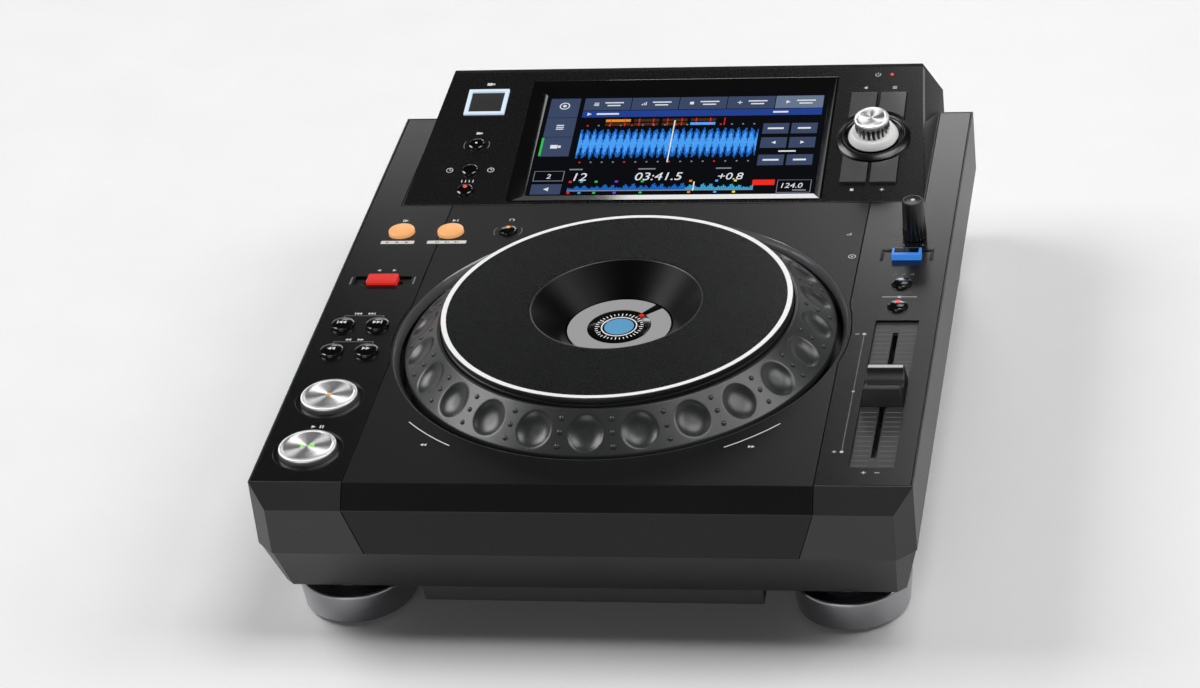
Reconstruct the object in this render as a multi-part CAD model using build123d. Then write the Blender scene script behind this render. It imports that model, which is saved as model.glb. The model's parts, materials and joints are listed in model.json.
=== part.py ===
# DJ media player: a jog wheel deck with a tilted touch display, in millimetres.
# X runs to the right, Y to the back and Z up, from the middle of the table area that it covers.
# Depths along the deck are measured from its front edge, heights from its surface.
from build123d import *
import os
from math import atan2, cos, degrees, hypot, radians, sin, sqrt, tan

# Clearances
PANEL_FIT = 0.2          # between fixed panels that drop into each other
SLIDE_GAP = 0.3          # between a moving piece and what it moves beside
RUNNING_FIT = 0.05       # between a shaft and its bore
SEAM_GAP = 0.4           # shadow line between the deck's panels
FACE_GAP = 1.0           # shadow gap round the foot of the display

# Wall and panel thicknesses
CASE_WALL = 2.5
PANEL_T = 2.0            # panels on top of the deck
SUBDECK_T = 2.0          # moulded deck that carries the panels
FASCIA_T = 2.5
HOOD_WALL = 2.5
DISPLAY_WALL = 3.0       # side walls of the display housing
BOARD_T = 1.6

# Jog wheel and its well, which set the width of the centre panel
WELL_RADIUS = 110.0
WELL_DEPTH = 14.0
WELL_FRONT = 19.7        # front edge of the deck to the rim of the well
WELL_RIM = 1.5           # collar of the centre panel round the well
WELL_RIM_DEPTH = 5.0
DIAL_GAP = 5.5           # rim of the well to the dial
DIAL_RIM = 3.0           # upright rim below the grip cone
DIAL_FOOT = -2.0         # foot of the grip cone
DIAL_TOP = 12.5          # top of the grip cone
CONE_RUN = 17.5          # how far the grip cone leans in
DIAL_LIP = 1.7           # flat lip at the top of the cone
DIAL_STEP = 4.5          # lip down to the ledge under the platter
DIAL_LEDGE = 7.3         # width of the ledge under the platter
DIAL_LEDGE_T = 3.0
DIMPLES = 24
DIMPLE_WIDTH = 16.5
DIMPLE_DEPTH = 2.2
PLATTER_TOP = 17.3
PLATTER_T = 3.5
DISH_T = 2.5             # platter's edge round the centre display
PLATTER_SKIRT = 3.5      # width of the skirt under the platter's edge
PLATTER_PRESS = 0.4      # travel of the platter under a hand
RING_INSET = 0.35        # edge of the platter to the trim ring
RING_WIDTH = 2.5
RING_T = 0.8
DISH_RADIUS = 41.0
DISH_SLOPE = 15.0        # how far the dish's wall leans in
DISH_DEPTH = 13.3
CENTRE_GAP = 0.5         # round the fixed centre display
CENTRE_T = 3.5
POST_RADIUS = 13.0
POST_WALL = 4.0
POST_FLANGE = 24.0
POST_FLANGE_T = 2.5
HUB_WALL = 5.0
WEB_T = 2.5
WEB_TOP = -1.5
WEB_HOLES = 6
WEB_HOLE_MARGIN = 1.0    # web between its holes and the slit disc or the riser
RISER_WALL = 4.0
SLIT_DISC_T = 0.8
SLIT_DISC_RADIUS = 30.0
SLITS = 30
SLIT_LENGTH = 5.0
SLIT_WIDTH = 1.2

# Case round the jog wheel
SEAM_INSET = 1.5         # rim of the well to the seam of the strips
STRIP_WIDTH = 44.4       # control strip on each side
EDGE_LIP = 1.2           # case's own edge round the strip panels
FACET_RUN = 8.4          # front facet, and the cut of the two front corners
FACET_DROP = 10.0
PARTING_DROP = 34.0      # deck down to the joint of the two case halves
PARTING_STEP = 0.4
FRONT_TAPER = 7.9        # how far the front panel narrows to the joint
UNDERCUT_DROP = 27.7
UNDERCUT_RUN = 14.4
SIDE_UNDERCUT = 7.0
BOTTOM_CUT = 4.0         # corner cut at the case's floor
POST_RADIUS_CASE = 3.5   # screw posts between the two halves
FRONT_POST = (6.0, 14.0)     # inside the seam, behind the front edge
REAR_POST = (15.0, 12.0)     # inside the case's side, before the deck's rear edge

# Display housing
DISPLAY_SET = 17.3       # rim of the well to the foot of the display
FACE_RUN = 109.0
RIDGE_HEIGHT = 21.8
REAR_RUN = 11.5          # ridge to the rear face
FACE_INSET = 17.9        # case's side to the display's side, at the deck
RIDGE_LEAN = 8.6         # how far the display's sides lean in up to the ridge
RIDGE_BEHIND = 14.0      # deck's rear edge to the ridge
RIDGE_LIP = 2.5          # hood's own edge in front of the ridge
HOOD_PART = 61.2         # foot of the display up to the hood's joint
FACE_LEDGE = 2.0
HOOD_DROP = 14.0         # rear face of the hood below the deck
BAY_DEPTH = 15.0         # rear panel in front of the hood's rear face
REAR_PANEL_T = 2.0
LIP_SETBACK = 2.0        # floor lip under the bay, in front of the rear face

# Screen: margins of the bezel to the face's left, right, foot and top, then of the screen to the bezel
BEZEL_MARGINS = (54.0, 52.0, 2.0, 10.16)
SCREEN_MARGINS = (8.5, 4.7, 6.5, 9.7)
BEZEL_T = 3.0
BEZEL_RIM = 1.0
LCD_MARGIN = 4.0
LCD_T = 6.0

# Feet and bottom plate
FOOT_INSET = 34.9        # case's side to the foot's axis
FOOT_FRONT = 32.0
FOOT_REAR = 32.0         # foot's axis before the deck's rear edge
FOOT_RADIUS = 28.0
FOOT_TAPER = 1.5
FOOT_BODY = 16.0
FOOT_NECK = 5.8
NECK_RADIUS = 19.0
PAD_T = 2.0
PAD_RADIUS = 23.0
PAN_INSET = 72.9         # case's side to the pan
PAN_FRONT = 8.0
PAN_REAR = 10.0
PAN_DROP = 9.3
PAN_T = 1.5
PAN_LIP = 4.0
VENTS = 9
VENT_LENGTH = 60.0
VENT_WIDTH = 3.0
VENT_PITCH = 9.0

# Push buttons
BUTTON_TRAVEL = 0.7
FLANGE_WIDTH = 0.8
FLANGE_T = 1.2
STEM_RADIUS = 1.6
STEM_LENGTH = 1.5
SWITCH_HEIGHT = 3.5
SWITCH_SIZE = 6.0
CAP_EDGE = 0.5
BOSS_RADIUS = 2.2
BOARD_GAP = 2.0          # edge of a switch board to the case

# Left strip, from the middle of the strip and from one row of controls to the next
TRANSPORT_RADIUS = 13.75
TRANSPORT_HEIGHT = 2.6
TRANSPORT_RING = 2.8
TRANSPORT_RING_DEPTH = 0.8
PLAY_Y = 26.9
CUE_STEP = 44.3
SEARCH_STEP = 41.5
TRACK_STEP = 24.4
PAIR_OFFSET = 8.7
SEARCH_RADIUS = 5.75
SEARCH_HEIGHT = 2.2
DIRECTION_IN = 1.7       # towards the middle of the deck
DIRECTION_FRONT = 2.65   # in front of the middle between the track and loop rows
LEVER_LENGTH = 15.4
LEVER_WIDTH = 8.0
LEVER_HEIGHT = 2.0
LEVER_TRAVEL = 6.5
LEVER_STEM = (6.0, 3.0)
LEVER_RETAINER = 2.0
LOOP_BACK = 28.0         # before the foot of the display
LOOP_IN_X = 1.1
LOOP_OUT_X = 26.8
RELOOP_OUT = 13.84       # rim of the well to the reloop button's axis
LOOP_RADIUS = 6.75
LOOP_HEIGHT = 2.4
RELOOP_RADIUS = 4.5
RELOOP_HEIGHT = 1.6

# Right strip
FADER_IN = 24.3          # seam to the fader's slot
FADER_FRONT = 15.15      # front edge of the deck to the fader's tray
FADER_ROOM = 157.0       # length of the strip that isn't the fader's travel
CAP_LENGTH = 24.0
CAP_BASE = 19.7
CAP_TOP = 17.0
CAP_HEIGHT = 9.0
CAP_RIDGE = 3.0
CAP_HOLLOW = 4.0
CAP_END_GAP = 1.25
CAP_SIDE_GAP = 0.45
TRAY_T = 0.8
STEM_BLADE = (2.0, 5.0)
STEM_TOP = 3.0
FADER_BODY = (14.0, 9.0)
FADER_BODY_END = 9.0
FADER_FLOOR = 2.0
TEMPO_IN = 23.2          # seam to the small buttons
MASTER_TEMPO_STEP = 12.55    # behind the fader's tray
TEMPO_RANGE_STEP = 21.2
TEMPO_RADIUS = 4.75
TEMPO_HEIGHT = 1.8
JOG_MODE_STEP = 26.6
JOG_MODE_SIZE = (14.4, 7.0)
JOG_MODE_HEIGHT = 3.0
SPEED_IN = 25.5
SPEED_STEP = 19.0
SPEED_RADIUS = 6.0
SPEED_HEIGHT = 21.0
SPEED_TAPER = 0.7
SPEED_STEM = 3.0
SPEED_POT = 12.0
POT_FLOOR = 1.6

# Controls on the display's face, from its sides and its foot
USB_IN = (30.5, 27.86)   # from the face's side and from its top
USB_FRAME = (21.9, 20.6)
USB_BAR = 1.9
USB_FRAME_DEPTH = 6.0
USB_FRAME_PROUD = 0.8
DOOR_T = 1.8
DOOR_PROUD = 0.4
DOOR_PIN_RADIUS = 0.6
DOOR_PIN = 1.2
USB_PORT = (12.5, 5.1)
USB_SHELL = 0.5
USB_PORT_DEPTH = 12.0
USB_TONGUE = (11.1, 1.8)
USB_TONGUE_LENGTH = 8.0
USB_PLATE_T = 0.8
FACE_BUTTONS_IN = 31.0
FACE_BUTTON_RADIUS = 4.25
FACE_BUTTON_HEIGHT = 1.6
USB_STOP_DOWN = 7.15     # below the middle between the time mode button and the USB window
TIME_MODE_S = 27.0
QUANTIZE_S = 11.0
SELECTOR_IN = (29.4, 5.58)   # from the face's side, and below its middle
SELECTOR_RING = 19.0
SELECTOR_RING_WIDTH = 3.5
SELECTOR_RING_HEIGHT = 1.0
SKIRT_RADIUS = 13.0
SKIRT_TOP_RADIUS = 11.5
SKIRT_HEIGHT = 4.3
SKIRT_LIFT = 1.2
KNOB_RADIUS = 9.0
KNOB_HEIGHT = 9.0
KNOB_STEM = 3.0
COLLAR_RADIUS = 5.0
COLLAR_FLOOR = 1.6       # below the collar's bore, and below the collar itself
SELECTOR_PUSH = 0.6
ENCODER_SIZE = 13.0
BROWSE_GAP = 1.0         # half of the gap between two browse buttons
BROWSE_HALF = 14.4
BROWSE_REACH = 36.0
BROWSE_ARC = 21.0
BROWSE_HEIGHT = 1.4

# Inner boards
MAIN_DROP = 50.0         # deck down to the main board's top
MAIN_INSET = 27.9        # case's side to the main board
MAIN_FRONT = 120.0
SUPPLY_INSET = 28.9
SUPPLY_GAP = 13.0        # main board to the power supply
SUPPLY_SIZE = (66.0, 148.0)
SUPPLY_REAR = 34.0       # before the deck's rear edge
TRANSFORMER = (34.0, 30.0, 24.0)
HEAT_SINK = (46.0, 10.0, 26.0)
CAPACITOR = (8.0, 25.0)
PROCESSOR = (32.0, 32.0, 3.0)

# Rear sockets, from the display's side and from the middle line
RCA_INSET = (23.0, 43.0, 61.0)
RCA_BARREL = 4.15
RCA_BORE = 1.6
RCA_REACH = 9.0
RCA_FLANGE = 6.0
RCA_FLANGE_T = 1.2
RCA_BODY = (12.0, 12.0, 13.0)
LAN_X = -20.0
LAN_BODY = (16.0, 21.0, 13.5)
LAN_PORT = (11.8, 8.4, 12.0)
USB_B_X = 12.0
USB_B_BODY = (12.0, 16.0, 11.0)
USB_B_PORT = (8.5, 7.8, 9.0)
USB_B_TONGUE = (5.6, 3.2)
POWER_X = 55.0
POWER_DROP = 40.0
POWER_RADIUS = 6.0
POWER_PROUD = 4.0
INLET_INSET = 37.0
INLET_DROP = 40.0
INLET_FLANGE = (34.0, 24.0, 2.0)
INLET_BODY = (27.4, 19.4, 20.0)
INLET_PORT = (24.2, 16.2, 15.0)
INLET_PIN = (2.0, 4.0, 12.0)
INLET_PITCH = 7.0
INLET_RISE = 4.0         # earth pin above the other two
LOCK_X = 34.0
LOCK_DROP = 40.0
LOCK_SLOT = (7.0, 3.0)

# Places that follow from the sizes above
SEAM_X = WELL_RADIUS - SEAM_INSET
HALF = SEAM_X + STRIP_WIDTH
FACE_HALF = HALF - FACE_INSET
RIDGE_HALF = FACE_HALF - RIDGE_LEAN
FEET_X = HALF - FOOT_INSET
PAN_HALF = HALF - PAN_INSET
STRIP_X = SEAM_X + STRIP_WIDTH / 2
SKIN = PANEL_T + SUBDECK_T
JOG_Y = WELL_FRONT + WELL_RADIUS
FACE_FRONT = JOG_Y + WELL_RADIUS + DISPLAY_SET
RIDGE_Y = FACE_FRONT + FACE_RUN
REAR_END = RIDGE_Y + REAR_RUN
DECK_LENGTH = RIDGE_Y - RIDGE_BEHIND
FACE_LENGTH = hypot(FACE_RUN, RIDGE_HEIGHT)
FACE_TILT = degrees(atan2(RIDGE_HEIGHT, FACE_RUN))
CASE_DROP = PARTING_DROP + UNDERCUT_DROP
BAY_DROP = CASE_DROP - CASE_WALL
DECK_HEIGHT = CASE_DROP + FOOT_NECK + FOOT_BODY + PAD_T
DECK_FRONT = FACET_RUN - (FACET_RUN + REAR_END) / 2
DIAL_RADIUS = WELL_RADIUS - DIAL_GAP
CONE_TOP_RADIUS = DIAL_RADIUS - CONE_RUN
DIAL_BORE = CONE_TOP_RADIUS - DIAL_LIP
PLATTER_RADIUS = DIAL_BORE - SLIDE_GAP
LEDGE_TOP = DIAL_TOP - DIAL_STEP
PLATTER_FOOT = LEDGE_TOP + SLIDE_GAP + PLATTER_PRESS
CUP_RADIUS = WELL_RADIUS + WELL_RIM + PANEL_FIT
DISH_FLOOR = DISH_RADIUS - DISH_SLOPE
CENTRE_TOP = PLATTER_TOP - DISH_DEPTH
POST_TOP = CENTRE_TOP - CENTRE_T
CUE_Y = PLAY_Y + CUE_STEP
SEARCH_Y = CUE_Y + SEARCH_STEP
TRACK_Y = SEARCH_Y + TRACK_STEP
LOOP_Y = FACE_FRONT - LOOP_BACK
DIRECTION_Y = (TRACK_Y + LOOP_Y) / 2 - DIRECTION_FRONT
RELOOP_X = -sqrt((WELL_RADIUS + RELOOP_OUT) ** 2 - (LOOP_Y - JOG_Y) ** 2)
FADER_TRAVEL = FACE_FRONT - FADER_ROOM
TRAY_WIDTH = CAP_BASE + 2 * CAP_SIDE_GAP
TRAY_LENGTH = FADER_TRAVEL + CAP_LENGTH + 2 * CAP_END_GAP
FADER_Y = FADER_FRONT + TRAY_LENGTH / 2
MASTER_TEMPO_Y = FADER_FRONT + TRAY_LENGTH + MASTER_TEMPO_STEP
TEMPO_RANGE_Y = MASTER_TEMPO_Y + TEMPO_RANGE_STEP
JOG_MODE_Y = TEMPO_RANGE_Y + JOG_MODE_STEP
FADER_X = SEAM_X + FADER_IN
TEMPO_X = SEAM_X + TEMPO_IN
SPEED_PLACE = (SEAM_X + SPEED_IN, JOG_MODE_Y + SPEED_STEP)
JOG_MODE_PLACE = (TEMPO_X, JOG_MODE_Y)
DIRECTION_X = DIRECTION_IN - STRIP_X
DECK_BOARD = SKIN + SLIDE_GAP + FLANGE_T + STEM_LENGTH + BUTTON_TRAVEL + SLIDE_GAP + SWITCH_HEIGHT
FACE_BOARD = DECK_BOARD - SKIN + FASCIA_T
REAR_PANEL_Y = REAR_END - BAY_DEPTH
BEZEL = (
    BEZEL_MARGINS[0] - FACE_HALF,
    FACE_HALF - BEZEL_MARGINS[1],
    BEZEL_MARGINS[2],
    FACE_LENGTH - BEZEL_MARGINS[3],
)
SCREEN = (
    BEZEL[0] + SCREEN_MARGINS[0],
    BEZEL[1] - SCREEN_MARGINS[1],
    BEZEL[2] + SCREEN_MARGINS[2],
    BEZEL[3] - SCREEN_MARGINS[3],
)
USB = (USB_IN[0] - FACE_HALF, FACE_LENGTH - USB_IN[1])
FACE_BUTTONS_X = FACE_BUTTONS_IN - FACE_HALF
USB_STOP_S = (TIME_MODE_S + USB[1]) / 2 - USB_STOP_DOWN
SELECTOR = (FACE_HALF - SELECTOR_IN[0], FACE_LENGTH / 2 - SELECTOR_IN[1])
SUPPLY_BOARD = (
    HALF - SUPPLY_INSET - SUPPLY_SIZE[0],
    HALF - SUPPLY_INSET,
    DECK_LENGTH - SUPPLY_REAR - SUPPLY_SIZE[1],
    DECK_LENGTH - SUPPLY_REAR,
)
MAIN_BOARD = (MAIN_INSET - HALF, SUPPLY_BOARD[0] - SUPPLY_GAP, MAIN_FRONT)
RCA_X = [side - FACE_HALF for side in RCA_INSET]
INLET_X = FACE_HALF - INLET_INSET

# Round buttons on the deck: place, radius and height
DECK_BUTTONS = {
    "play_button": (-STRIP_X, PLAY_Y, TRANSPORT_RADIUS, TRANSPORT_HEIGHT),
    "cue_button": (-STRIP_X, CUE_Y, TRANSPORT_RADIUS, TRANSPORT_HEIGHT),
    "search_back_button": (-STRIP_X - PAIR_OFFSET, SEARCH_Y, SEARCH_RADIUS, SEARCH_HEIGHT),
    "search_next_button": (-STRIP_X + PAIR_OFFSET, SEARCH_Y, SEARCH_RADIUS, SEARCH_HEIGHT),
    "track_back_button": (-STRIP_X - PAIR_OFFSET, TRACK_Y, SEARCH_RADIUS, SEARCH_HEIGHT),
    "track_next_button": (-STRIP_X + PAIR_OFFSET, TRACK_Y, SEARCH_RADIUS, SEARCH_HEIGHT),
    "loop_in_button": (-STRIP_X + LOOP_IN_X, LOOP_Y, LOOP_RADIUS, LOOP_HEIGHT),
    "loop_out_button": (-STRIP_X + LOOP_OUT_X, LOOP_Y, LOOP_RADIUS, LOOP_HEIGHT),
    "reloop_button": (RELOOP_X, LOOP_Y, RELOOP_RADIUS, RELOOP_HEIGHT),
    "tempo_range_button": (TEMPO_X, TEMPO_RANGE_Y, TEMPO_RADIUS, TEMPO_HEIGHT),
    "master_tempo_button": (TEMPO_X, MASTER_TEMPO_Y, TEMPO_RADIUS, TEMPO_HEIGHT),
}
FACE_BUTTONS = {
    "usb_stop_button": USB_STOP_S,
    "time_mode_button": TIME_MODE_S,
    "quantize_button": QUANTIZE_S,
}
BROWSE_BUTTONS = {
    "browse_rear_left_button": (-1, 1),
    "browse_rear_right_button": (1, 1),
    "browse_front_left_button": (-1, -1),
    "browse_front_right_button": (1, -1),
}
BASE = (Align.CENTER, Align.CENTER, Align.MIN)


def deck(x, y, z=0.0):
    """Place on the deck: depth from its front edge, height from its surface."""
    return Pos(x, y + DECK_FRONT, z + DECK_HEIGHT)


def on_face(x, s, n=0.0):
    """Place on the tilted display face: distance up from its foot, height off its surface."""
    return deck(0, FACE_FRONT) * Rot(FACE_TILT, 0, 0) * Pos(x, s, n)


def block(x0, x1, y0, y1, z0, z1):
    """Box between limits on the deck."""
    return deck((x0 + x1) / 2, (y0 + y1) / 2, (z0 + z1) / 2) * Box(x1 - x0, y1 - y0, z1 - z0)


def face_block(x0, x1, s0, s1, n0, n1):
    """Box between limits on the display face."""
    return on_face((x0 + x1) / 2, (s0 + s1) / 2, (n0 + n1) / 2) * Box(x1 - x0, s1 - s0, n1 - n0)


def outline(points):
    """Flat face inside a closed outline of straight sides."""
    return make_face(Polyline(*points, close=True))


def plan_prism(points, z0, z1):
    """Upright prism of a plan outline on the deck."""
    return deck(0, 0, z0) * extrude(outline(points), z1 - z0, dir=(0, 0, 1))


def side_prism(points, x0, x1):
    """Prism along X of a side outline of depth and height pairs."""
    return deck(x0, 0) * extrude(Plane.YZ * outline(points), x1 - x0, dir=(1, 0, 0))


def end_prism(points, y0, y1):
    """Prism along Y of an end outline of width and height pairs."""
    return deck(0, y0) * extrude(Plane.XZ * outline(points), y1 - y0, dir=(0, 1, 0))


def turned(points):
    """Solid of revolution about Z of radius and height pairs."""
    return revolve(Plane.XZ * outline(points), Axis.Z)


def inset(points, distances):
    """Move each side of an open outline to its right by its own distance, with mitred corners."""
    sides = []
    for (y0, z0), (y1, z1), distance in zip(points, points[1:], distances):
        length = hypot(y1 - y0, z1 - z0)
        along = ((y1 - y0) / length, (z1 - z0) / length)
        shift = (along[1] * distance, -along[0] * distance)
        sides.append(((y0 + shift[0], z0 + shift[1]), (y1 + shift[0], z1 + shift[1]), along))
    corners = [sides[0][0]]
    for (start, _, a), (other, _, b) in zip(sides, sides[1:]):
        cross = a[0] * b[1] - a[1] * b[0]
        t = ((other[0] - start[0]) * b[1] - (other[1] - start[1]) * b[0]) / cross
        corners.append((start[0] + a[0] * t, start[1] + a[1] * t))
    corners.append(sides[-1][1])
    return corners


def cut_corner_plan(half, front, rear, cut, margin=0.0):
    """Plan outline of the case with its front corners cut at 45 degrees, inset by a margin."""
    half -= margin
    front += margin
    rear -= margin
    cut -= margin * (2 - sqrt(2))
    return [
        (-half, front + cut),
        (-half, rear),
        (half, rear),
        (half, front + cut),
        (half - cut, front),
        (-half + cut, front),
    ]


# Side outline of the upper case: front face, facet and deck
CASE_SIDE = [(-FACET_RUN, -PARTING_DROP), (-FACET_RUN, -FACET_DROP), (0, 0), (DECK_LENGTH, 0)]
# Side outline of the display housing: foot, ridge, rear edge and foot of the rear face
DISPLAY_SIDE = [(FACE_FRONT, 0), (RIDGE_Y, RIDGE_HEIGHT), (REAR_END, 0), (REAR_END, -BAY_DROP)]
OVER = 1.0  # how far a cutter reaches past the face that it opens


def display_ends(margin, drop):
    """Width of the display housing: leaning sides above the deck, upright ones below."""
    base = FACE_HALF - margin
    ridge = RIDGE_HALF - margin
    top = RIDGE_HEIGHT
    points = [(-base, -drop), (-base, 0), (-ridge, top), (ridge, top), (base, 0), (base, -drop)]
    return end_prism(points, FACE_FRONT, REAR_END)


def fascia_slab():
    """Plate that the display face is made of, before its openings."""
    reach = FACE_LENGTH - RIDGE_LIP
    tilt = radians(FACE_TILT)
    end = (FACE_FRONT + reach * cos(tilt), reach * sin(tilt))
    points = [
        (FACE_FRONT, 0),
        end,
        (end[0] + FASCIA_T * sin(tilt), end[1] - FASCIA_T * cos(tilt)),
        (FACE_FRONT, -FASCIA_T / cos(tilt)),
    ]
    return side_prism(points, -HALF, HALF) & display_ends(0, SKIN)


def display_void(bottom):
    """Space inside the display housing, open below."""
    tilt = radians(FACE_TILT)
    front = FACE_FRONT + FACE_LEDGE
    under = FACE_LEDGE * tan(tilt) - FASCIA_T / cos(tilt)
    inner = inset(DISPLAY_SIDE, [FASCIA_T, HOOD_WALL, HOOD_WALL])
    points = [(front, -bottom), (front, under)] + inner[1:3] + [(inner[3][0], -bottom)]
    return side_prism(points, -HALF, HALF) & display_ends(DISPLAY_WALL, bottom)


def hood_region():
    """Everything above the joint between the grey wedge and the hood."""
    tilt = radians(FACE_TILT)
    joint = (FACE_FRONT + HOOD_PART * cos(tilt), HOOD_PART * sin(tilt))
    top = 2 * RIDGE_HEIGHT
    back = REAR_END + OVER
    points = [joint, (joint[0], top), (back, top), (back, 0), (DECK_LENGTH, 0)]
    return side_prism(points, -HALF, HALF)


def display_block():
    """Outer form of the display housing above the deck."""
    return side_prism(DISPLAY_SIDE[:3], -HALF, HALF) & display_ends(0, SKIN)


def centre_form(gap):
    """Centre panel bent over the facet and the front face, wider by a gap on each side."""
    rim = CASE_SIDE[:-1] + [(FACE_FRONT - FACE_GAP + gap, 0)]
    band = rim + inset(rim, [PANEL_T] * 3)[::-1]
    half = SEAM_X - SEAM_GAP / 2 + gap
    foot = half - FRONT_TAPER
    widths = [
        (-half, SKIN),
        (half, SKIN),
        (half, -FACET_DROP),
        (foot, -PARTING_DROP),
        (-foot, -PARTING_DROP),
        (-half, -FACET_DROP),
    ]
    return side_prism(band, -HALF, HALF) & end_prism(widths, -FACET_RUN - OVER, FACE_FRONT)


def strip_form(side, gap):
    """Control panel beside the jog wheel, narrower beside the display."""
    inner = SEAM_X + SEAM_GAP / 2 - gap
    outer = HALF - EDGE_LIP + gap
    beside = FACE_HALF + FACE_GAP - gap
    turn = FACE_FRONT - FACE_GAP + gap
    front = EDGE_LIP - gap
    rear = DECK_LENGTH - EDGE_LIP + gap
    points = [(inner, front), (outer, front), (outer, rear), (beside, rear), (beside, turn), (inner, turn)]
    return plan_prism([(side * x, y) for x, y in points], -PANEL_T, 0)


def rod(x, y, radius, z0, z1):
    """Upright cylinder on the deck between two heights."""
    return deck(x, y, z0) * Cylinder(radius, z1 - z0, align=BASE)


def face_rod(x, s, radius, n0, n1):
    """Cylinder square to the display face between two heights."""
    return on_face(x, s, n0) * Cylinder(radius, n1 - n0, align=BASE)


def lever_slot(extra):
    """Slot length and width for the direction lever's cap or stem."""
    length, width = extra
    return length + 2 * (LEVER_TRAVEL + SLIDE_GAP), width + 2 * SLIDE_GAP


def control_holes(z0, z1):
    """Holes for the deck's round buttons, the speed knob's stem and the jog mode button."""
    holes = [rod(x, y, r + SLIDE_GAP, z0, z1) for x, y, r, _ in DECK_BUTTONS.values()]
    holes.append(rod(*SPEED_PLACE, SPEED_STEM + SLIDE_GAP, z0, z1))
    x, y = JOG_MODE_PLACE
    length, width = [size / 2 + SLIDE_GAP for size in JOG_MODE_SIZE]
    holes.append(block(x - length, x + length, y - width, y + width, z0, z1))
    return holes


def slot_block(x, y, size, z0, z1):
    """Box round a place on the deck."""
    return block(x - size[0] / 2, x + size[0] / 2, y - size[1] / 2, y + size[1] / 2, z0, z1)


def rear_slot(x, middle, size, y0, y1):
    """Box along Y round a place on the rear panel."""
    wide, high = size
    return block(x - wide / 2, x + wide / 2, y0, y1, middle - high / 2, middle + high / 2)


def face_slot(place, size, n0, n1):
    """Box round a place on the display face."""
    (x, s), (wide, high) = place, size
    return face_block(x - wide / 2, x + wide / 2, s - high / 2, s + high / 2, n0, n1)


def board_plans():
    """Plan limits of the switch boards under the two strips."""
    inner = CUP_RADIUS + CASE_WALL + BOARD_GAP
    outer = HALF - CASE_WALL - BOARD_GAP
    loops = LOOP_Y - RELOOP_RADIUS - FLANGE_WIDTH
    rear = LOOP_Y + LOOP_RADIUS + BOARD_GAP
    reloop = RELOOP_X + LOOP_RADIUS
    return {
        "left": (-outer, -inner, PLAY_Y - TRANSPORT_RADIUS - BOARD_GAP, rear),
        "loops": (-inner, reloop, loops, rear),
        "right": (inner, outer, MASTER_TEMPO_Y - TEMPO_RADIUS - BOARD_GAP, rear),
    }


def board_bosses():
    """Places of the bosses that hold the switch boards under the strips."""
    places = []
    plans = board_plans()
    for name in ("left", "right"):
        x0, x1, y0, y1 = plans[name]
        for x in (x0 + BOSS_RADIUS, x1 - BOSS_RADIUS):
            for y in (y0 + BOSS_RADIUS, y1 - BOSS_RADIUS):
                places.append((x, y))
    return places


def case_posts():
    """Places of the screw posts that join the two case halves."""
    front = (SEAM_X - FRONT_POST[0], FRONT_POST[1])
    rear = (HALF - REAR_POST[0], DECK_LENGTH - REAR_POST[1])
    return [(side * x, y) for side in (-1, 1) for x, y in (front, rear)]


def make_upper_case():
    """Grey moulding: side walls, front corners, deck, jog wheel's well and the display's wedge."""
    plan = cut_corner_plan(HALF, -FACET_RUN, DECK_LENGTH, FACET_RUN)
    inner = cut_corner_plan(HALF, -FACET_RUN, DECK_LENGTH, FACET_RUN, CASE_WALL)
    side = CASE_SIDE + [(DECK_LENGTH, -PARTING_DROP)]
    hollow = inset(CASE_SIDE, [SKIN] * 3) + [(DECK_LENGTH, -PARTING_DROP)]
    case = plan_prism(plan, -PARTING_DROP, 0) & side_prism(side, -HALF, HALF)
    case -= plan_prism(inner, -PARTING_DROP, 0) & side_prism(hollow, -HALF, HALF)
    case += rod(0, JOG_Y, CUP_RADIUS + CASE_WALL, -WELL_DEPTH - CASE_WALL, -PANEL_T)
    case += [rod(x, y, BOSS_RADIUS, -DECK_BOARD, -PANEL_T) for x, y in board_bosses()]
    case += [rod(x, y, POST_RADIUS_CASE, -PARTING_DROP, -PANEL_T) for x, y in case_posts()]
    case += display_block() - hood_region()
    case -= display_void(SKIN + OVER)
    case -= fascia_slab()
    case -= [centre_form(SEAM_GAP), strip_form(-1, SEAM_GAP), strip_form(1, SEAM_GAP)]
    case -= rod(0, JOG_Y, CUP_RADIUS, -WELL_DEPTH, OVER)
    case -= rod(0, JOG_Y, POST_RADIUS - POST_WALL, -WELL_DEPTH - CASE_WALL - OVER, 0)
    case -= control_holes(-SKIN - OVER, 0)
    case -= slot_block(DIRECTION_X, DIRECTION_Y, lever_slot(LEVER_STEM), -SKIN - OVER, 0)
    blade = (STEM_BLADE[0] + 2 * SLIDE_GAP, STEM_BLADE[1] + FADER_TRAVEL + 2 * SLIDE_GAP)
    case -= slot_block(FADER_X, FADER_Y, blade, -SKIN - OVER, 0)
    bay = FACE_HALF - DISPLAY_WALL
    rear = DECK_LENGTH - CASE_WALL
    case -= block(-bay, bay, rear - OVER, DECK_LENGTH + OVER, -PARTING_DROP - OVER, 0)
    return case


def make_centre_panel():
    """Dark panel round the jog wheel, bent down over the front, with a collar down the well."""
    panel = centre_form(0) - control_holes(-SKIN, OVER)
    panel += rod(0, JOG_Y, WELL_RADIUS + WELL_RIM, -WELL_RIM_DEPTH, 0)
    return panel - rod(0, JOG_Y, WELL_RADIUS, -WELL_DEPTH, OVER)


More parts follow.
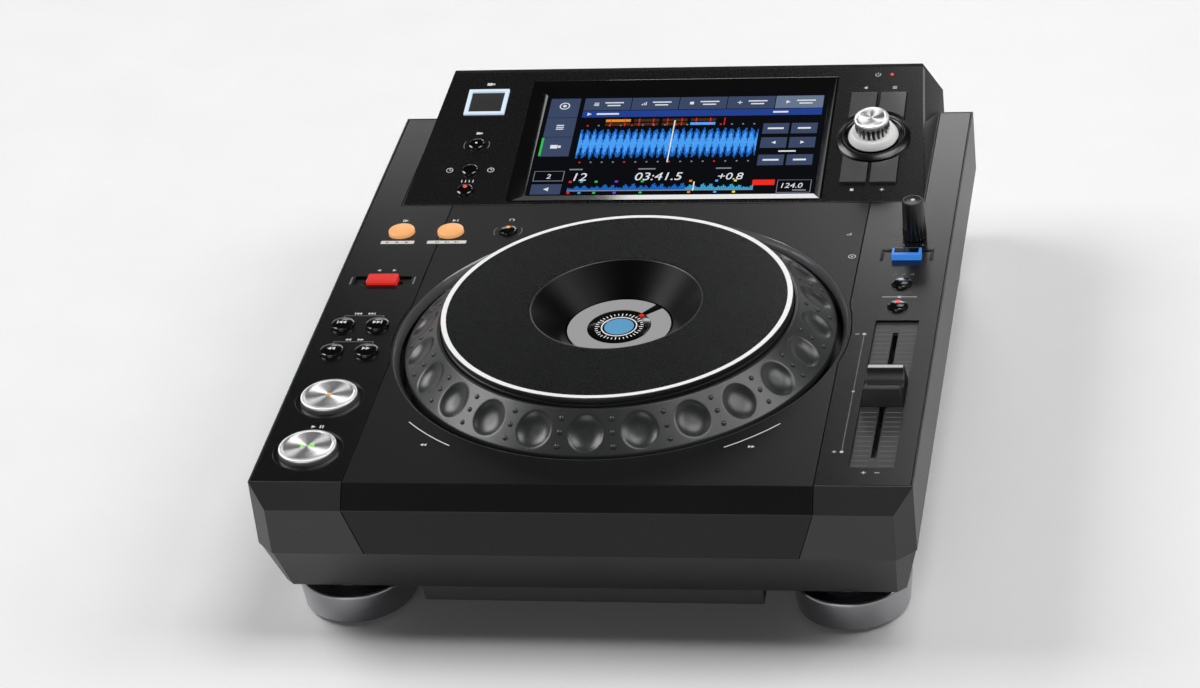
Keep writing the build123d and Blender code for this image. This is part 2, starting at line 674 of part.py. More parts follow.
def make_strip(side):
    """Black control panel with its openings."""
    panel = strip_form(side, 0) - control_holes(-SKIN, OVER)
    panel -= rod(0, JOG_Y, WELL_RADIUS + WELL_RIM + SEAM_GAP, -SKIN, OVER)
    if side < 0:
        cap = lever_slot((LEVER_LENGTH, LEVER_WIDTH))
        panel -= slot_block(DIRECTION_X, DIRECTION_Y, cap, -SKIN, OVER)
        for y in (PLAY_Y, CUE_Y):
            ring = TRANSPORT_RADIUS + TRANSPORT_RING
            panel -= rod(-STRIP_X, y, ring, -TRANSPORT_RING_DEPTH, OVER)
    else:
        panel -= slot_block(FADER_X, FADER_Y, (TRAY_WIDTH, TRAY_LENGTH), -SKIN, OVER)
    return panel


def make_lower_case():
    """Undercut tub with its floor, board standoffs and screw posts."""
    rear = DECK_LENGTH
    sizes = [
        (HALF - PARTING_STEP, PARTING_STEP - FACET_RUN, FACET_RUN),
        (HALF - SIDE_UNDERCUT, UNDERCUT_RUN - FACET_RUN, BOTTOM_CUT),
    ]
    top, bottom = [cut_corner_plan(half, front, rear, cut) for half, front, cut in sizes]
    top_in, bottom_in = [
        cut_corner_plan(half, front, rear, cut, CASE_WALL) for half, front, cut in sizes
    ]
    outer = [deck(0, 0, -PARTING_DROP) * outline(top), deck(0, 0, -CASE_DROP) * outline(bottom)]
    inner = [deck(0, 0, -PARTING_DROP) * outline(top_in), deck(0, 0, -BAY_DROP) * outline(bottom_in)]
    case = loft(outer, ruled=True) - loft(inner, ruled=True)
    bay = FACE_HALF - DISPLAY_WALL
    case -= block(-bay, bay, rear - CASE_WALL - OVER, rear + OVER, -BAY_DROP, OVER - PARTING_DROP)
    case += block(-FACE_HALF, FACE_HALF, rear - CASE_WALL, REAR_END - LIP_SETBACK, -CASE_DROP, -BAY_DROP)
    pan = PAN_HALF - PAN_LIP
    pan_front = PAN_FRONT + PAN_LIP
    pan_rear = DECK_LENGTH - PAN_REAR - PAN_LIP
    case += [rod(x, y, POST_RADIUS_CASE, -BAY_DROP, -PARTING_DROP) for x, y in case_posts()]
    case += [rod(x, y, BOSS_RADIUS, -BAY_DROP, -MAIN_DROP - BOARD_T) for x, y in board_feet()]
    case -= block(-pan, pan, pan_front, pan_rear, -CASE_DROP - OVER, OVER - BAY_DROP)
    return case


def board_feet():
    """Places of the standoffs under the main board and the power supply, beside the pan."""
    edge = 2 * BOSS_RADIUS
    x0, x1, y0 = MAIN_BOARD
    places = [(x0 + edge, y0 + edge), (x0 + edge, DECK_LENGTH - PAN_REAR)]
    places.append((x1 - edge, DECK_LENGTH - BOSS_RADIUS))
    _, x1, y0, y1 = SUPPLY_BOARD
    return places + [(x1 - edge, y0 + edge), (x1 - edge, y1 - edge)]


def make_bottom_plate():
    """Steel pan under the case between the feet, with cooling slots."""
    rear = DECK_LENGTH - PAN_REAR
    floor = -CASE_DROP - PAN_DROP
    pan = block(-PAN_HALF, PAN_HALF, PAN_FRONT, rear, floor, -CASE_DROP)
    pan -= block(
        PAN_T - PAN_HALF, PAN_HALF - PAN_T, PAN_FRONT + PAN_T, rear - PAN_T, floor + PAN_T, OVER - CASE_DROP
    )
    middle = (PAN_FRONT + rear) / 2
    for row in range(VENTS):
        y = middle + (row - (VENTS - 1) / 2) * VENT_PITCH
        pan -= slot_block(0, y, (VENT_LENGTH, VENT_WIDTH), floor - OVER, floor + PAN_T + OVER)
    return pan


def foot_places():
    """Places of the four feet."""
    return [(side * FEET_X, y) for side in (-1, 1) for y in (FOOT_FRONT, DECK_LENGTH - FOOT_REAR)]


def make_feet():
    """Four turned metal feet with a narrow neck under the case."""
    top = FOOT_BODY + PAD_T
    low = FOOT_RADIUS - FOOT_TAPER
    points = [
        (0, PAD_T),
        (low - CAP_EDGE, PAD_T),
        (low, PAD_T + CAP_EDGE),
        (FOOT_RADIUS, top - CAP_EDGE),
        (FOOT_RADIUS - CAP_EDGE, top),
        (NECK_RADIUS, top),
        (NECK_RADIUS, top + FOOT_NECK),
        (0, top + FOOT_NECK),
    ]
    foot = turned(points)
    return Compound([deck(x, y, -DECK_HEIGHT) * foot for x, y in foot_places()])


def make_foot_pads():
    """Rubber discs under the feet."""
    return Compound([rod(x, y, PAD_RADIUS, -DECK_HEIGHT, PAD_T - DECK_HEIGHT) for x, y in foot_places()])


def make_rear_hood():
    """Black cover behind the display, with cheeks and a brow round the socket bay."""
    hood = display_block() & hood_region()
    hood += block(-FACE_HALF, FACE_HALF, DECK_LENGTH, REAR_END, -BAY_DROP, 0)
    hood -= display_void(BAY_DROP + OVER)
    hood -= fascia_slab()
    bay = FACE_HALF - DISPLAY_WALL
    hood -= block(-bay, bay, REAR_END - HOOD_WALL - OVER, REAR_END + OVER, -BAY_DROP - OVER, -HOOD_DROP)
    return hood


def make_fascia():
    """Face plate of the display with its openings, board bosses and the selector's ring."""
    plate = fascia_slab()
    x, s = SELECTOR
    ring = face_rod(x, s, SELECTOR_RING, -FASCIA_T, SELECTOR_RING_HEIGHT)
    ring -= face_rod(x, s, SELECTOR_RING - SELECTOR_RING_WIDTH, 0, 2 * SELECTOR_RING_HEIGHT)
    plate += ring
    plate += [face_rod(bx, bs, BOSS_RADIUS, -FACE_BOARD, -FASCIA_T / 2) for bx, bs in face_bosses()]
    x0, x1, s0, s1 = BEZEL
    fit = PANEL_FIT
    plate -= face_block(x0 - fit, x1 + fit, s0 - fit, s1 + fit, -2 * FASCIA_T, OVER)
    plate -= face_rod(x, s, COLLAR_RADIUS + SLIDE_GAP, -2 * FASCIA_T, OVER)
    window = [size + 2 * PANEL_FIT for size in USB_FRAME]
    plate -= face_slot(USB, window, -2 * FASCIA_T, OVER)
    for bs in FACE_BUTTONS.values():
        plate -= face_rod(FACE_BUTTONS_X, bs, FACE_BUTTON_RADIUS + SLIDE_GAP, -2 * FASCIA_T, OVER)
    for sides in BROWSE_BUTTONS.values():
        hole = extrude(browse_outline(sides, SLIDE_GAP), 2 * FASCIA_T + OVER, dir=(0, 0, 1))
        plate -= on_face(0, 0, -2 * FASCIA_T) * hole
    return plate


def face_boards():
    """Limits of the boards under the display face: left buttons, then selector side."""
    x, s = SELECTOR
    left = FACE_BUTTONS_X - FACE_BUTTON_RADIUS - 3 * BOSS_RADIUS
    right = FACE_BUTTONS_X + FACE_BUTTON_RADIUS + 3 * BOSS_RADIUS
    top = USB_STOP_S + FACE_BUTTON_RADIUS + 3 * BOSS_RADIUS
    reach = BROWSE_REACH + 2 * BOSS_RADIUS
    low = QUANTIZE_S - FACE_BUTTON_RADIUS - FLANGE_WIDTH
    return [
        (left, right, low, top),
        (x - BROWSE_HALF - FACE_GAP, x + BROWSE_HALF + FACE_GAP, s - reach, s + reach),
    ]


def face_bosses():
    """Places of the bosses that hold the boards under the display face."""
    left, right = face_boards()
    x0, x1, _, s1 = left
    middle = (QUANTIZE_S + TIME_MODE_S) / 2
    places = [(x, s) for x in (x0 + BOSS_RADIUS, x1 - BOSS_RADIUS) for s in (middle, s1 - BOSS_RADIUS)]
    x0, x1, _, _ = right
    places += [(x, SELECTOR[1]) for x in (x0 + BOSS_RADIUS, x1 - BOSS_RADIUS)]
    return places


def make_bezel():
    """Screen frame whose inner edges slope down to the glass."""
    x0, x1, s0, s1 = BEZEL
    frame = face_block(x0, x1, s0, s1, -BEZEL_T, 0)
    rim = BEZEL_RIM
    limits = [(x0 + rim, x1 - rim, s0 + rim, s1 - rim, 0), (*SCREEN, -BEZEL_T)]
    faces = []
    for a0, a1, b0, b1, n in limits:
        corners = [(a0, b0), (a1, b0), (a1, b1), (a0, b1)]
        faces.append(on_face(0, 0, n) * outline(corners))
    return frame - loft(faces, ruled=True)


def make_lcd():
    """Screen module under the bezel."""
    x0, x1, s0, s1 = SCREEN
    m = LCD_MARGIN
    return face_block(x0 - m, x1 + m, s0 - m, s1 + m, -BEZEL_T - LCD_T, -BEZEL_T)


def make_jog_dial():
    """Grip ring of the jog wheel with a ring of finger dimples on its cone."""
    foot = DIAL_FOOT - DIAL_RIM
    inner = DIAL_BORE - DIAL_LEDGE
    points = [
        (DIAL_RADIUS, foot),
        (DIAL_RADIUS, DIAL_FOOT),
        (CONE_TOP_RADIUS, DIAL_TOP),
        (DIAL_BORE, DIAL_TOP),
        (DIAL_BORE, LEDGE_TOP),
        (inner, LEDGE_TOP),
        (inner, LEDGE_TOP - DIAL_LEDGE_T),
        (DIAL_BORE, LEDGE_TOP - DIAL_LEDGE_T),
        (DIAL_RADIUS - DIAL_RIM, foot),
    ]
    dial = turned(points)
    cone = hypot(CONE_RUN, DIAL_TOP - DIAL_FOOT)
    out = ((DIAL_TOP - DIAL_FOOT) / cone, CONE_RUN / cone)
    ball = ((DIMPLE_WIDTH / 2) ** 2 + DIMPLE_DEPTH ** 2) / (2 * DIMPLE_DEPTH)
    lift = ball - DIMPLE_DEPTH
    radius = (DIAL_RADIUS + CONE_TOP_RADIUS) / 2 + out[0] * lift
    height = (DIAL_FOOT + DIAL_TOP) / 2 + out[1] * lift
    for step in range(DIMPLES):
        dial -= Rot(0, 0, step * 360 / DIMPLES - 90) * Pos(radius, 0, height) * Sphere(ball)
    return deck(0, JOG_Y) * dial


def make_jog_platter():
    """Platter with a dished middle and a groove for the trim ring."""
    under = PLATTER_TOP - PLATTER_T
    skirt = PLATTER_RADIUS - PLATTER_SKIRT
    steep = DISH_SLOPE / DISH_DEPTH
    floor = CENTRE_TOP - DISH_T
    points = [
        (PLATTER_RADIUS, PLATTER_FOOT),
        (PLATTER_RADIUS, PLATTER_TOP),
        (PLATTER_RADIUS - RING_INSET, PLATTER_TOP),
        (PLATTER_RADIUS - RING_INSET, PLATTER_TOP - RING_T),
        (PLATTER_RADIUS - RING_INSET - RING_WIDTH, PLATTER_TOP - RING_T),
        (PLATTER_RADIUS - RING_INSET - RING_WIDTH, PLATTER_TOP),
        (DISH_RADIUS, PLATTER_TOP),
        (DISH_FLOOR, CENTRE_TOP),
        (DISH_FLOOR, floor),
        (DISH_FLOOR + (under - floor) * steep, under),
        (skirt, under),
        (skirt, PLATTER_FOOT),
    ]
    return deck(0, JOG_Y) * turned(points)


def ring_solid(inner, outer, z0, z1):
    """Flat ring round the jog wheel's axis."""
    return deck(0, JOG_Y) * turned([(inner, z0), (outer, z0), (outer, z1), (inner, z1)])


def make_jog_hub():
    """Hub that runs on the post, with a pierced web up to the dial's ledge."""
    bore = POST_RADIUS + RUNNING_FIT
    tube = bore + HUB_WALL
    rim = DIAL_BORE - DIAL_LEDGE + RISER_WALL / 2
    seat = LEDGE_TOP - DIAL_LEDGE_T
    foot = POST_FLANGE_T + SLIDE_GAP - WELL_DEPTH
    web = WEB_TOP - WEB_T
    points = [
        (bore, foot),
        (tube, foot),
        (tube, web),
        (rim, web),
        (rim, seat),
        (rim - RISER_WALL, seat),
        (rim - RISER_WALL, WEB_TOP),
        (tube, WEB_TOP),
        (tube, POST_TOP - SLIDE_GAP),
        (bore, POST_TOP - SLIDE_GAP),
    ]
    hub = turned(points)
    disc = tube + SLIT_DISC_RADIUS
    riser = rim - RISER_WALL
    middle = (disc + riser) / 2
    hole_radius = (riser - disc) / 2 - WEB_HOLE_MARGIN
    for step in range(WEB_HOLES):
        hole = Pos(middle, 0, web - OVER) * Cylinder(hole_radius, WEB_T + 2 * OVER, align=BASE)
        hub -= Rot(0, 0, step * 360 / WEB_HOLES) * hole
    return deck(0, JOG_Y) * hub


def make_slit_disc():
    """Thin disc with slits under the hub's web, read by the speed sensor."""
    top = WEB_TOP - WEB_T
    inner = POST_RADIUS + RUNNING_FIT + HUB_WALL
    disc = ring_solid(inner, SLIT_DISC_RADIUS + inner, top - SLIT_DISC_T, top)
    middle = SLIT_DISC_RADIUS + inner - SLIT_LENGTH
    for step in range(SLITS):
        turn = Rot(0, 0, step * 360 / SLITS)
        slit = Box(SLIT_LENGTH, SLIT_WIDTH, SLIT_DISC_T + 2 * OVER)
        disc -= deck(0, JOG_Y, top) * turn * Pos(middle, 0, 0) * slit
    return disc


def make_jog_post():
    """Fixed hollow spindle that carries the centre display."""
    bore = POST_RADIUS - POST_WALL
    points = [
        (bore, -WELL_DEPTH),
        (POST_FLANGE, -WELL_DEPTH),
        (POST_FLANGE, POST_FLANGE_T - WELL_DEPTH),
        (POST_RADIUS, POST_FLANGE_T - WELL_DEPTH),
        (POST_RADIUS, POST_TOP),
        (bore, POST_TOP),
    ]
    return deck(0, JOG_Y) * turned(points)


def round_button(place, radius, height, skin):
    """Round push button through a panel of the given thickness."""
    under = -skin - SLIDE_GAP
    rim = radius + FLANGE_WIDTH
    foot = under - FLANGE_T
    points = [
        (0, height),
        (radius - CAP_EDGE, height),
        (radius, height - CAP_EDGE),
        (radius, under),
        (rim, under),
        (rim, foot),
        (STEM_RADIUS, foot),
        (STEM_RADIUS, foot - STEM_LENGTH),
        (0, foot - STEM_LENGTH),
    ]
    return place * turned(points)


def transport_button(place, radius, height, skin):
    """Large disc button with a raised rim round a slightly sunk face."""
    button_solid = round_button(place, radius, height, skin)
    sunk = place * Pos(0, 0, height - CAP_EDGE / 2) * Cylinder(radius - 3 * CAP_EDGE, CAP_EDGE, align=BASE)
    return button_solid - sunk


def plate_button(place, face, height, skin, rim):
    """Push button of any plan, with a flange round it and a stem at its middle."""
    under = -skin - SLIDE_GAP
    cap = place * Pos(0, 0, under) * extrude(face, height - under, dir=(0, 0, 1))
    flange = place * Pos(0, 0, under - FLANGE_T) * extrude(rim, FLANGE_T, dir=(0, 0, 1))
    middle = face.center()
    foot = under - FLANGE_T - STEM_LENGTH
    stem = place * Pos(middle.X, middle.Y, foot) * Cylinder(STEM_RADIUS, STEM_LENGTH, align=BASE)
    return cap + flange + stem


def browse_outline(sides, margin):
    """Plan of a browse button: a corner of the square round the selector, cut by its ring."""
    x, s = SELECTOR
    inner = BROWSE_GAP - margin
    outer = BROWSE_HALF + margin
    reach = BROWSE_REACH + margin
    corners = [(inner, inner), (outer, inner), (outer, reach), (inner, reach)]
    square = outline([(x + sides[0] * a, s + sides[1] * b) for a, b in corners])
    return square - Pos(x, s) * Circle(BROWSE_ARC - margin)


def make_jog_mode_button():
    """Rectangular button beside the speed knob."""
    length, width = JOG_MODE_SIZE
    rim = Rectangle(length + 2 * FLANGE_WIDTH, width + 2 * FLANGE_WIDTH)
    return plate_button(deck(*JOG_MODE_PLACE), Rectangle(length, width), JOG_MODE_HEIGHT, SKIN, rim)


def make_direction_lever():
    """Sliding lever: cap in the panel's slot, stem through the deck and a retainer below."""
    length, width = LEVER_LENGTH, LEVER_WIDTH
    lever = slot_block(DIRECTION_X, DIRECTION_Y, (length, width), SLIDE_GAP - PANEL_T, LEVER_HEIGHT)
    lever = chamfer(lever.edges().group_by(Axis.Z)[-1], CAP_EDGE)
    under = -SKIN - SLIDE_GAP
    foot = SLIDE_GAP + SWITCH_HEIGHT - DECK_BOARD
    lever += slot_block(DIRECTION_X, DIRECTION_Y, LEVER_STEM, foot, 0)
    plate = (LEVER_STEM[0] + LEVER_RETAINER, LEVER_STEM[1] + 2 * LEVER_RETAINER)
    lever += slot_block(DIRECTION_X, DIRECTION_Y, plate, under - FLANGE_T, under)
    return lever


def make_switch_boards():
    """Four switch boards with a switch under each button."""
    plans = board_plans()
    top = -DECK_BOARD
    left = block(*plans["left"], top - BOARD_T, top) + block(*plans["loops"], top - BOARD_T, top)
    right = block(*plans["right"], top - BOARD_T, top)
    size = (SWITCH_SIZE, SWITCH_SIZE)
    for x, y, _, _ in DECK_BUTTONS.values():
        switch = slot_block(x, y, size, top, top + SWITCH_HEIGHT)
        if x < 0:
            left += switch
        else:
            right += switch
    right += slot_block(*JOG_MODE_PLACE, size, top, top + SWITCH_HEIGHT)
    slide = (LEVER_STEM[0] + 2 * LEVER_TRAVEL, LEVER_STEM[1] + LEVER_RETAINER)
    left += slot_block(DIRECTION_X, DIRECTION_Y, slide, top, top + SWITCH_HEIGHT)
    boards = [left, right]
    top = -FACE_BOARD
    keys = [[(FACE_BUTTONS_X, s) for s in FACE_BUTTONS.values()]]
    keys.append([browse_centre(sides) for sides in BROWSE_BUTTONS.values()])
    for limits, places in zip(face_boards(), keys):
        board = face_block(*limits, top - BOARD_T, top)
        for place in places:
            board += face_slot(place, size, top, top + SWITCH_HEIGHT)
        boards.append(board)
    return Compound(boards)


def browse_centre(sides):
    """Middle of a browse button's plan."""
    middle = browse_outline(sides, 0).center()
    return middle.X, middle.Y


def make_fader_tray():
    """Thin scale plate on the floor of the fader's recess, with the slot of its stem."""
    size = (TRAY_WIDTH - PANEL_FIT, TRAY_LENGTH - PANEL_FIT)
    tray = slot_block(FADER_X, FADER_Y, size, -PANEL_T, TRAY_T - PANEL_T)
    slot = (STEM_BLADE[0] + 2 * SLIDE_GAP, FADER_TRAVEL + STEM_BLADE[1] + 2 * CAP_END_GAP)
    return tray - slot_block(FADER_X, FADER_Y, slot, -SKIN, OVER)


def make_fader_body():
    """Slide control under the deck with the channel of its stem."""
    width, depth = FADER_BODY
    length = FADER_TRAVEL + STEM_BLADE[1] + 2 * FADER_BODY_END
    body = slot_block(FADER_X, FADER_Y, (width, length), -SKIN - depth, -SKIN)
    channel = (STEM_BLADE[0] + 2 * SLIDE_GAP, FADER_TRAVEL + STEM_BLADE[1] + 2 * SLIDE_GAP)
    return body - slot_block(FADER_X, FADER_Y, channel, -SKIN - depth + FADER_FLOOR, OVER)


def make_fader_stem():
    """Blade that carries the fader cap."""
    foot = FADER_FLOOR + SLIDE_GAP - SKIN - FADER_BODY[1]
    return slot_block(FADER_X, FADER_Y, STEM_BLADE, foot, STEM_TOP)


def make_fader_cap():
    """Fader cap with two ridges, a hollow between them and sides that lean in."""
    half = CAP_LENGTH / 2
    foot = SLIDE_GAP + TRAY_T - PANEL_T
    top = foot + CAP_HEIGHT
    ridge = half - CAP_RIDGE / 2
    inner = ridge - CAP_RIDGE
    line = Polyline((-inner, top), (-ridge, top), (-half, foot), (half, foot), (ridge, top), (inner, top))
    hollow = ThreePointArc((inner, top), (0, top - CAP_HOLLOW), (-inner, top))
    profile = make_face([line, hollow])
    body = extrude(Plane.YZ * profile, CAP_BASE, dir=(1, 0, 0))
    body = deck(FADER_X - CAP_BASE / 2, FADER_Y) * body
    ends = [(-CAP_BASE / 2, foot), (-CAP_TOP / 2, top), (CAP_TOP / 2, top), (CAP_BASE / 2, foot)]
    body &= end_prism([(FADER_X + x, z) for x, z in ends], FADER_Y - half, FADER_Y + half)
    socket = [size + PANEL_FIT for size in STEM_BLADE]
    return body - slot_block(FADER_X, FADER_Y, socket, foot - OVER, STEM_TOP + PANEL_FIT)


def make_speed_pot():
    """Rotary control under the speed knob."""
    x, y = SPEED_PLACE
    pot = slot_block(x, y, (SPEED_POT, SPEED_POT), -DECK_BOARD, -SKIN)
    return pot - rod(x, y, SPEED_STEM + RUNNING_FIT, POT_FLOOR - DECK_BOARD, OVER)


def make_speed_knob():
    """Tall tapered knob with its stem."""
    points = [
        (0, SPEED_HEIGHT),
        (SPEED_RADIUS - SPEED_TAPER - CAP_EDGE, SPEED_HEIGHT),
        (SPEED_RADIUS - SPEED_TAPER, SPEED_HEIGHT - CAP_EDGE),
        (SPEED_RADIUS, SLIDE_GAP),
        (SPEED_STEM, SLIDE_GAP),
        (SPEED_STEM, POT_FLOOR + SLIDE_GAP - DECK_BOARD),
        (0, POT_FLOOR + SLIDE_GAP - DECK_BOARD),
    ]
    return deck(*SPEED_PLACE) * turned(points)


def make_usb_frame():
    """Lit frame round the USB cover, with the bearings of its pins."""
    window = [size - 2 * USB_BAR for size in USB_FRAME]
    frame = face_slot(USB, USB_FRAME, -USB_FRAME_DEPTH, USB_FRAME_PROUD)
    frame -= face_slot(USB, window, -USB_FRAME_DEPTH - OVER, USB_FRAME_PROUD + OVER)
    reach = window[0] / 2 + SLIDE_GAP + DOOR_PIN
    return frame - hinge_rod(DOOR_PIN_RADIUS + RUNNING_FIT, reach)


def hinge_rod(radius, reach):
    """Rod along the hinge line of the USB cover."""
    x, _ = USB
    s, n = hinge_line()
    return on_face(x, s, n) * Rot(0, 90, 0) * Cylinder(radius, 2 * reach)


def hinge_line():
    """Place of the USB cover's hinge line on the display face."""
    s = USB[1] + USB_FRAME[1] / 2 - USB_BAR - SLIDE_GAP - DOOR_T / 2
    return s, DOOR_PROUD - DOOR_T / 2


def make_usb_door():
    """Cover of the USB port, round at its hinge edge, with a pin at each end."""
    x, s = USB
    half = USB_FRAME[0] / 2 - USB_BAR - SLIDE_GAP
    low = s - USB_FRAME[1] / 2 + USB_BAR + SLIDE_GAP
    hinge, _ = hinge_line()
    door = face_block(x - half, x + half, low, hinge, DOOR_PROUD - DOOR_T, DOOR_PROUD)
    door += hinge_rod(DOOR_T / 2, half)
    return door + hinge_rod(DOOR_PIN_RADIUS, half + DOOR_PIN)


def make_usb_socket():
    """USB socket with its tongue, hung from a plate under the lit frame."""
    top = -USB_FRAME_DEPTH
    floor = top - USB_PORT_DEPTH
    shell = [size + 2 * USB_SHELL for size in USB_PORT]
    socket = face_slot(USB, shell, floor - USB_SHELL, top)
    socket += face_slot(USB, USB_FRAME, top - USB_PLATE_T, top)
    socket -= face_slot(USB, USB_PORT, floor, OVER)
    return socket + face_slot(USB, USB_TONGUE, floor, floor + USB_TONGUE_LENGTH)


def make_selector_encoder():
    """Rotary encoder between the face and its board, with the bore of the push collar."""
    body = face_slot(SELECTOR, (ENCODER_SIZE, ENCODER_SIZE), -FACE_BOARD, -FASCIA_T)
    floor = collar_foot() - SELECTOR_PUSH - SLIDE_GAP
    return body - face_rod(*SELECTOR, COLLAR_RADIUS + RUNNING_FIT, floor, OVER)


def collar_foot():
    """Height of the push collar's lower end off the display face."""
    return COLLAR_FLOOR + SLIDE_GAP + SELECTOR_PUSH - FACE_BOARD


def make_selector_collar():
    """Sleeve that goes down when the selector is pushed."""
    sleeve = face_rod(*SELECTOR, COLLAR_RADIUS, collar_foot(), SKIRT_LIFT - SLIDE_GAP)
    return sleeve - face_rod(*SELECTOR, KNOB_STEM + RUNNING_FIT, collar_foot() + COLLAR_FLOOR, SKIRT_LIFT)


def make_selector_skirt():
    """Pale lower ring of the selector, leaning in to the knob."""
    points = [
        (KNOB_STEM + RUNNING_FIT, SKIRT_LIFT),
        (SKIRT_RADIUS - CAP_EDGE, SKIRT_LIFT),
        (SKIRT_RADIUS, SKIRT_LIFT + CAP_EDGE),
        (SKIRT_TOP_RADIUS, SKIRT_LIFT + SKIRT_HEIGHT),
        (KNOB_STEM + RUNNING_FIT, SKIRT_LIFT + SKIRT_HEIGHT),
    ]
    return on_face(*SELECTOR) * turned(points)


def make_selector_knob():
    """Metal knob with its stem through the skirt and the collar."""
    foot = SKIRT_LIFT + SKIRT_HEIGHT
    top = foot + KNOB_HEIGHT
    end = collar_foot() + COLLAR_FLOOR + SLIDE_GAP
    points = [
        (0, top),
        (KNOB_RADIUS - 2 * CAP_EDGE, top),
        (KNOB_RADIUS, top - 2 * CAP_EDGE),
        (KNOB_RADIUS, foot),
        (KNOB_STEM, foot),
        (KNOB_STEM, end),
        (0, end),
    ]
    return on_face(*SELECTOR) * turned(points)


def make_main_board():
    """Main circuit board with its processor, under the rear sockets."""
    x0, x1, y0 = MAIN_BOARD
    top = -MAIN_DROP
    board = block(x0, x1, y0, REAR_PANEL_Y, top - BOARD_T, top)
    middle = ((x0 + x1) / 2, (y0 + REAR_PANEL_Y) / 2)
    return board + slot_block(*middle, PROCESSOR[:2], top, top + PROCESSOR[2])


def make_power_supply():
    """Power supply board with transformer, heat sink and capacitors."""
    x0, x1, y0, y1 = SUPPLY_BOARD
    top = -MAIN_DROP
    board = block(x0, x1, y0, y1, top - BOARD_T, top)
    middle = (x0 + x1) / 2
    quarter = (y1 - y0) / 4
    board += slot_block(middle, y0 + quarter, TRANSFORMER[:2], top, top + TRANSFORMER[2])
    board += slot_block(middle, y0 + 2 * quarter, HEAT_SINK[:2], top, top + HEAT_SINK[2])
    radius, height = CAPACITOR
    for side in (-1, 1):
        board += rod(middle + side * 2 * radius, y0 + 3 * quarter, radius, top, top + height)
    return board


def rear_rod(x, drop, radius, y0, y1):
    """Cylinder along Y through the rear panel."""
    middle = deck(x, (y0 + y1) / 2, -drop)
    return middle * Rot(90, 0, 0) * Cylinder(radius, y1 - y0)


def rca_drop():
    """Depth of the phono jacks' axis below the deck."""
    return MAIN_DROP - RCA_BODY[2] / 2


def make_rear_panel():
    """Socket plate inside the bay, with a cut for each socket and a lock slot."""
    half = FACE_HALF - DISPLAY_WALL - PANEL_FIT
    y0 = REAR_PANEL_Y
    y1 = y0 + REAR_PANEL_T
    panel = block(-half, half, y0, y1, -BAY_DROP, -HOOD_WALL)
    panel -= [rear_rod(x, rca_drop(), RCA_BARREL + PANEL_FIT, y0 - OVER, y1 + OVER) for x in RCA_X]
    panel -= rear_rod(POWER_X, POWER_DROP, POWER_RADIUS + SLIDE_GAP, y0 - OVER, y1 + OVER)
    for x, body in ((LAN_X, LAN_BODY), (USB_B_X, USB_B_BODY)):
        hole = (body[0] + 2 * PANEL_FIT, body[2] + 2 * PANEL_FIT)
        panel -= rear_slot(x, body[2] / 2 - MAIN_DROP, hole, y0 - OVER, y1 + OVER)
    hole = [size + 2 * PANEL_FIT for size in INLET_BODY[:2]]
    panel -= rear_slot(INLET_X, -INLET_DROP, hole, y0 - OVER, y1 + OVER)
    return panel - rear_slot(LOCK_X, -LOCK_DROP, LOCK_SLOT, y0 - OVER, y1 + OVER)


def make_rca_jacks():
    """Three phono jacks: barrel and flange behind the panel, body on the main board."""
    width, length, height = RCA_BODY
    outside = REAR_PANEL_Y + REAR_PANEL_T
    jacks = []
    for x in RCA_X:
        body = rear_slot(x, -rca_drop(), (width, height), REAR_PANEL_Y - length, REAR_PANEL_Y)
        barrel = rear_rod(x, rca_drop(), RCA_BARREL, REAR_PANEL_Y, outside + RCA_REACH)
        flange = rear_rod(x, rca_drop(), RCA_FLANGE, outside, outside + RCA_FLANGE_T)
        bore = rear_rod(x, rca_drop(), RCA_BORE, outside, outside + RCA_REACH + OVER)
        jacks.append(body + barrel + flange - bore)
    return Compound(jacks)


def board_socket(x, body, port):
    """Box socket on the main board, open to the rear."""
    width, length, height = body
    wide, high, deep = port
    end = REAR_PANEL_Y + REAR_PANEL_T
    middle = height / 2 - MAIN_DROP
    shell = rear_slot(x, middle, (width, height), end - length, end)
    return shell - rear_slot(x, middle, (wide, high), end - deep, end + OVER)


def make_rear_sockets():
    """Network socket and square USB socket with its tongue."""
    lan = board_socket(LAN_X, LAN_BODY, LAN_PORT)
    usb = board_socket(USB_B_X, USB_B_BODY, USB_B_PORT)
    middle = USB_B_BODY[2] / 2 - MAIN_DROP
    end = REAR_PANEL_Y + REAR_PANEL_T - OVER
    usb += rear_slot(USB_B_X, middle, USB_B_TONGUE, end - USB_B_PORT[2], end)
    return Compound([lan, usb])


def make_ac_inlet():
    """Mains inlet with three pins, flanged outside the rear panel."""
    outside = REAR_PANEL_Y + REAR_PANEL_T
    wide, high, thick = INLET_FLANGE
    mouth = outside + thick
    inlet = rear_slot(INLET_X, -INLET_DROP, (wide, high), outside, mouth)
    wide, high, deep = INLET_BODY
    inlet += rear_slot(INLET_X, -INLET_DROP, (wide, high), outside - deep, outside)
    wide, high, deep = INLET_PORT
    floor = mouth - deep
    inlet -= rear_slot(INLET_X, -INLET_DROP, (wide, high), floor, mouth + OVER)
    thin, tall, reach = INLET_PIN
    for offset, rise in ((-INLET_PITCH, 0), (0, INLET_RISE), (INLET_PITCH, 0)):
        inlet += rear_slot(INLET_X + offset, rise - INLET_DROP, (thin, tall), floor - OVER, floor + reach)
    return inlet


def make_power_button():
    """Power button through the rear panel, with its flange inside."""
    under = REAR_PANEL_Y - SLIDE_GAP
    cap = rear_rod(POWER_X, POWER_DROP, POWER_RADIUS, under, REAR_PANEL_Y + REAR_PANEL_T + POWER_PROUD)
    return cap + rear_rod(POWER_X, POWER_DROP, POWER_RADIUS + FLANGE_WIDTH, under - FLANGE_T, under)


